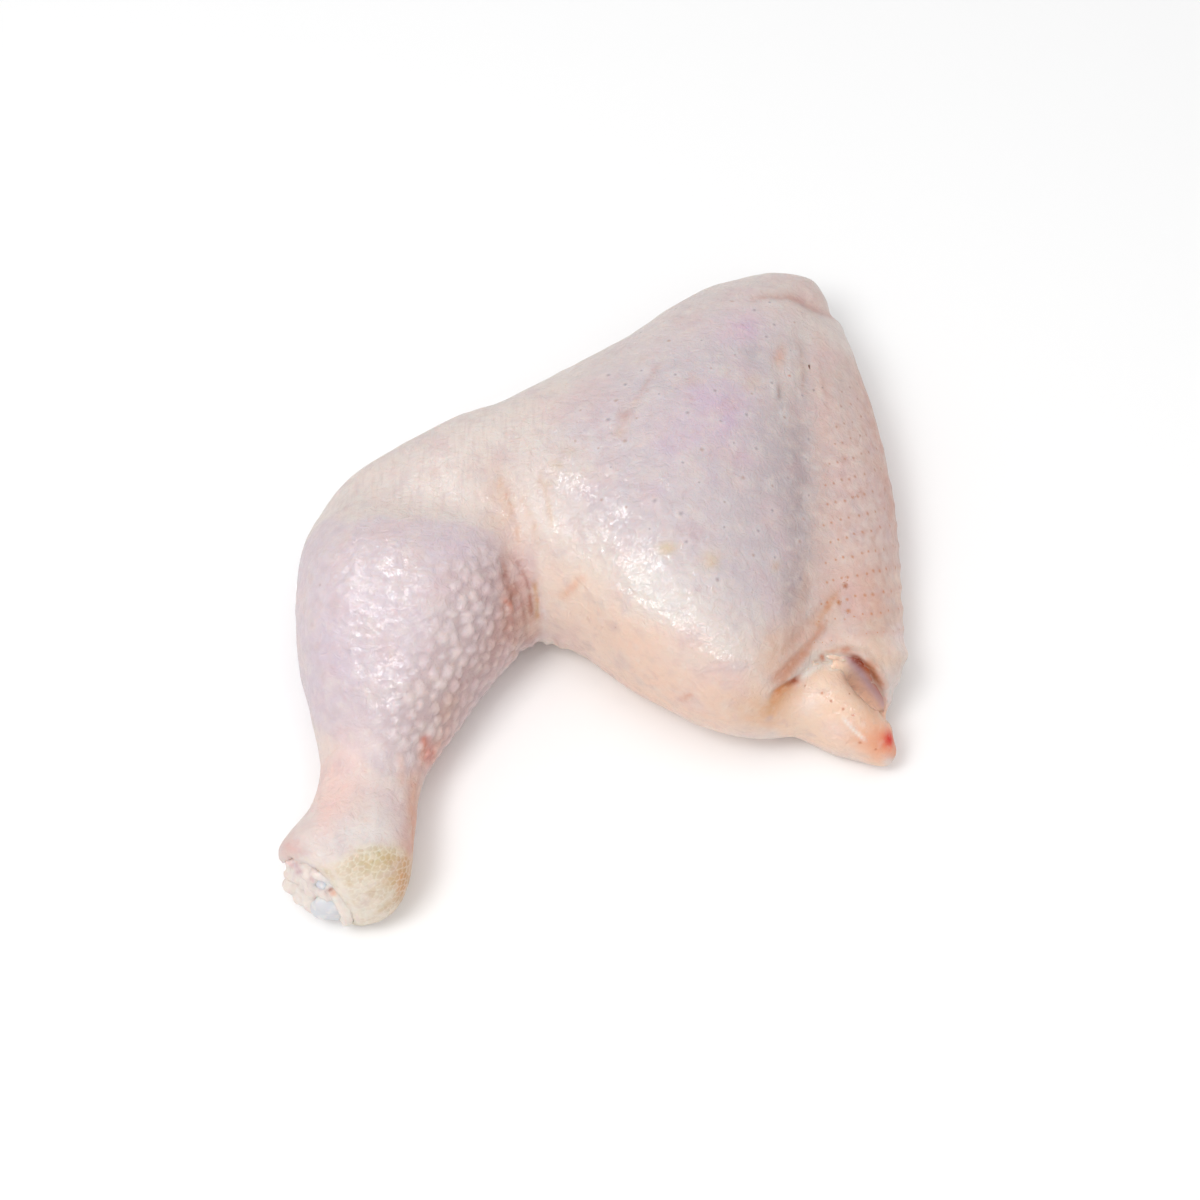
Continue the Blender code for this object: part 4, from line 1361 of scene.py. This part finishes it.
# %% Gristle knuckle
GRISTLE_LUMPS = ((-57.4, -78.6, 10.2, 4.4, 2.8, 3.4), (-59.6, -78.0, 7.2, 3.2))
GRISTLE_LUMP_SIZE, GRISTLE_LUMP_HEIGHT, GRISTLE_SINK = 2.6 * MM, 0.15 * MM, 0.12 * MM
gristle = as_mesh(grown("hock_cartilage", GRISTLE_LUMPS, 10), "hock_gristle")
gristle_lumps = bands_of_noise(places_of(gristle)[0], GRISTLE_LUMP_SIZE, 8)
raise_by(gristle, GRISTLE_LUMP_HEIGHT * gristle_lumps - GRISTLE_SINK)
print("lumps of gristle:", len(GRISTLE_LUMPS))

# %% Gristle material
GRISTLE_BLUE, GRISTLE_WHITE = (220, 221, 226), (236, 232, 230)
gristle_material, tree, shader, where = wet_material(
    "gristle", roughness=0.55, coat=0.06, coat_roughness=0.2, depth=2 * MM, scattering=0.4
)
cloud = clouds(tree, where, 2.2 * MM, 0.4, 0.65, distortion=0.4)
coloured(tree, shader, cloud, GRISTLE_BLUE, GRISTLE_WHITE)
bumped(tree, shader, ((noise_node(tree, where, 1.6 * MM, 2, 0.3), 0.12 * MM),), to="Coat Normal")
piece("gristle_knuckle", gristle, gristle_material, "gristle", "hock_cartilage")

# %% [markdown]
# ## Bare flesh in the slit
# Between the hood of back skin and the tail lies a slit. Deep in it shows a narrow band
# of dark, bluish flesh. The piece that stands for the imported solid is a copy of the
# skin round the slit. Easing it many times lifts it out of the slit like a drumhead, and
# everything that doesn't stand above the skin is hidden under it. It is painted across:
# brown painted shade under the hood, bluish in the middle, and the tail's peach beside
# the tail, with a darker painted shade in the crevice at its upper end.

# %% A drumhead over the slit
SLIT_MIDDLE, SLIT_REACH = Vector((59.2, -29.6, 18.5)) * MM, 10.5 * MM
SLIT_KEPT = 0.92
SLIT_ROUNDS = 60
ease(slit_bm, SLIT_ROUNDS, [v for v in slit_bm.verts if (v.co - SLIT_MIDDLE).length < SLIT_REACH])
outside = [f for f in slit_bm.faces if (f.calc_center_median() - SLIT_MIDDLE).length > SLIT_REACH * SLIT_KEPT]
bmesh.ops.delete(slit_bm, geom=outside, context="FACES")
slit_bm.normal_update()
print("faces over the slit:", len(slit_bm.faces))

# %% Sink it at its borders
SINK_LINE = ((832, 642), (850, 668), (860, 682), (871, 696), (888, 720))
SLIT_HALF, SLIT_BORDER, SLIT_LOWER = 14, 8, 1.8 * MM
RIPPLE_SIZE, RIPPLE_HEIGHT = 1.8 * MM, 0.18 * MM
SLIT_THICKNESS = 1.2 * MM
sunk_places = np.array([v.co for v in slit_bm.verts])
band_gap, _ = from_line(seen_at(sunk_places), SINK_LINE)
sink = SLIT_LOWER * ramp(band_gap, SLIT_HALF, SLIT_HALF + SLIT_BORDER)
sink -= RIPPLE_HEIGHT * bands_of_noise(sunk_places, RIPPLE_SIZE, 9)
for vert, depth in zip(slit_bm.verts, sink):
    vert.co -= vert.normal * depth
bmesh.ops.solidify(slit_bm, geom=slit_bm.faces, thickness=SLIT_THICKNESS)
bmesh.ops.recalc_face_normals(slit_bm, faces=slit_bm.faces)
slit = as_mesh(slit_bm, "slit_flesh_bare")
print("slit flesh with its thickness:", len(slit.polygons), "faces")

# %% Colours of the slit
FLESH_PEACH = (252, 216, 190)
SLIT_LINES = (
    # pale towards the tail, then the bluish band, then brown painted shade under the rim
    ((240, 208, 188), 0.45, 6, ((846, 662), (856, 678), (868, 694))),
    ((208, 186, 200), 0.95, 6, ((838, 640), (856, 665), (866, 679), (877, 693), (896, 718))),
    ((186, 100, 58), 0.95, 5.2, ((838, 640), (860, 661), (870, 672), (880, 686), (899, 712))),
)
# Painted shade: a dark oval in the crevice at the slit's upper end.
SLIT_END_SHADE = ((140, 48, 24), 0.95, (859, 661), (10, 5), 30)
slit_places, _ = places_of(slit)
slit_seen = seen_at(slit_places)
slit_tint = with_lines(painted_all(slit_places, FLESH_PEACH), slit_seen, SLIT_LINES)
slit_tint = with_patches(slit_tint, slit_seen, [SLIT_END_SHADE])
keep_colour(slit, "tint", slit_tint)
print("mean colour of the slit:", slit_tint.mean(axis=0).round(2))

# %% Bare flesh material
FLESH_CLOUD = (212, 182, 172)
flesh_material, tree, shader, where = wet_material(
    "bare_flesh", roughness=0.42, coat=0.3, coat_roughness=0.15, depth=1.5 * MM, scattering=0.25
)
cloud = clouds(tree, where, 1.3 * MM, 0.45, 0.7, share=0.4, distortion=0.8)
coloured(tree, shader, cloud, from_mesh(tree, "tint").outputs["Color"], FLESH_CLOUD)
bumped(tree, shader, ((noise_node(tree, where, 0.9 * MM, 3, 0.8), 0.15 * MM),))
piece("slit_band", slit, flesh_material, "bare_flesh", "slit_flesh")

# %% [markdown]
# ## Torn membranes at the slit
# At the slit's upper end hang shreds of clear, whitish membrane and a small clot of
# jelly. Short chains of stretched spheres, grown together by a fine remesh, give their
# soft, stringy form.

# %% Membranes
STRAND_RADIUS, STRAND_STEP = 0.42 * MM, 0.4 * MM
STRAND_FLATNESS, STRAND_GRID = 0.6, 0.18 * MM
STRANDS = (
    # the strand's pixels, thickness beside the usual one, lift off the skin in mm
    (((806, 670), (814, 665), (822, 662), (830, 662)), 1.3, -0.34),
    (((812, 651), (820, 648), (830, 649)), 1.2, -0.4),
    (((813, 652), (812, 658), (815, 665)), 1.1, -0.38),
    (((828, 656), (836, 657), (845, 660)), 2.3, -0.28),
    (((827, 669), (836, 669), (846, 673)), 2.0, -0.45),
)
final_tree = surface_tree(skin)
shred_bm = bmesh.new()
for pixels, thick, lift in STRANDS:
    ends = [behind_pixel(final_tree, pixel) for pixel in pixels]
    ends = [place + normal * lift * MM for place, normal in ends]
    for start, end in zip(ends[:-1], ends[1:]):
        count = max(2, round((end - start).length / STRAND_STEP))
        for i in range(count):
            swell = STRAND_RADIUS * thick * draw.uniform(0.75, 1.2)
            add_ball(shred_bm, start.lerp(end, i / count), (swell, swell, swell * STRAND_FLATNESS))
shred_bm = evenly(shred_bm, STRAND_GRID)
ease(shred_bm, 8)
shreds = as_mesh(shred_bm, "slit_membrane")
print("strands:", len(STRANDS))

# %% Membrane material
MEMBRANE_PALE, MEMBRANE_DEEP = (244, 222, 206), (236, 202, 178)
shred_material, tree, shader, where = wet_material(
    "white_membrane", roughness=0.4, coat=0.25, coat_roughness=0.2, depth=1 * MM, scattering=0.4
)
cloud = clouds(tree, where, 0.9 * MM, 0.4, 0.65, detail=2, distortion=0.5)
coloured(tree, shader, cloud, MEMBRANE_PALE, MEMBRANE_DEEP)
piece("slit_membrane", shreds, shred_material, "white_tissue")

# %% [markdown]
# ## A feather stub
# Plucking leaves a broken shaft in the skin at the thigh's far corner: a short dark peg
# that lies nearly flat in a pale ring. It is a tapered cone with bevelled rims.

# %% Feather stub
STUB_PIXEL, STUB_LENGTH, STUB_RADIUS = (809, 366), 1.7 * MM, 0.24 * MM
STUB_RISE, STUB_TAPER, STUB_OUT = 0.45, 0.6, 0.35
STUB_BEVEL = STUB_RADIUS * 0.3
place, normal = behind_pixel(final_tree, STUB_PIXEL)
axis = (normal * STUB_RISE - picture_up).normalized()
stub_turn = axis.to_track_quat("Z", "Y").to_matrix().to_4x4()
stub_place = Matrix.Translation(place + axis * STUB_LENGTH * STUB_OUT) @ stub_turn
stub_bm = bmesh.new()
bmesh.ops.create_cone(
    stub_bm, cap_ends=True, segments=12, depth=STUB_LENGTH, matrix=stub_place,
    radius1=STUB_RADIUS, radius2=STUB_RADIUS * STUB_TAPER,
)
rims = [edge for edge in stub_bm.edges if any(len(face.verts) > 4 for face in edge.link_faces)]
bmesh.ops.bevel(
    stub_bm, geom=rims, offset=STUB_BEVEL, segments=2, profile=0.5, affect="EDGES", material=-1
)
stub = as_mesh(stub_bm, "feather_stub")
print("stub length in mm:", STUB_LENGTH / MM)

# %% Feather shaft material
SHAFT_DARK, SHAFT_LIGHT = (104, 78, 68), (156, 120, 100)
stub_material, tree, shader, where = wet_material(
    "feather_shaft", roughness=0.45, coat=0.2, coat_roughness=0.15, depth=0.5 * MM, scattering=0.1
)
cloud = clouds(tree, where, 0.6 * MM, 0.4, 0.6, detail=2)
coloured(tree, shader, cloud, SHAFT_DARK, SHAFT_LIGHT)
piece("feather_stub", stub, stub_material, "wet_skin")

# %% [markdown]
# ## Floor and light
# A pale floor and a bright, nearly even light, as in a product photograph. Two broad
# lamps hang over the leg, and the white surroundings fill the shadows. Four more lamps
# only give glints: they stand where the wet skin mirrors them to the camera, and they
# don't light the skin under the film.

# %% Floor
FLOOR_HALF, FLOOR_PALE = 3, (0.94, 0.94, 0.94, 1)
floor_bm = bmesh.new()
bmesh.ops.create_grid(floor_bm, x_segments=1, y_segments=1, size=FLOOR_HALF)
floor = put_in_scene("floor", as_mesh(floor_bm, "floor"))
floor_material = bpy.data.materials.new("pale_floor")
floor_material.use_nodes = True
floor_shader = floor_material.node_tree.nodes["Principled BSDF"]
floor_shader.inputs["Base Color"].default_value = FLOOR_PALE
floor_shader.inputs["Roughness"].default_value = 0.9
floor.data.materials.append(floor_material)
print("floor ready")

# %% Lamps
LAMPS = (
    # name, place and size in metres, power in watts, whether it only gives glints
    ("key", (-0.3, -0.3, 0.8), 0.3, 2.6, False),
    ("glints on the thigh", (-0.4, -0.1, 0.74), 0.4, 6, True),
    ("glints above the knee", (-0.36, 0.3, 0.75), 0.26, 3.2, True),
    ("glints on the drumstick", (-0.04, -0.43, 0.75), 0.34, 4.2, True),
    ("glints below the thigh", (0.38, -0.58, 0.52), 0.34, 3.5, True),
    ("soft", (0.0, -0.25, 1.0), 0.9, 2.6, False),
)
for name, place, size, power, only_glints in LAMPS:
    lamp_data = bpy.data.lights.new(name, "AREA")
    lamp_data.size = size
    lamp_data.energy = power
    lamp = put_in_scene(name, lamp_data)
    lamp.location = place
    lamp.rotation_euler = (VIEW_TARGET - Vector(place)).to_track_quat("-Z", "Y").to_euler()
    lamp.visible_diffuse = not only_glints
print("lamps:", len(LAMPS))

# %% White surroundings
SURROUNDINGS = 0.64
world = bpy.data.worlds.new("white")
world.use_nodes = True
world.node_tree.nodes["Background"].inputs["Color"].default_value = (1, 1, 1, 1)
world.node_tree.nodes["Background"].inputs["Strength"].default_value = SURROUNDINGS
bpy.context.scene.world = world
bpy.context.scene.view_settings.view_transform = "Standard"
print("surroundings ready")
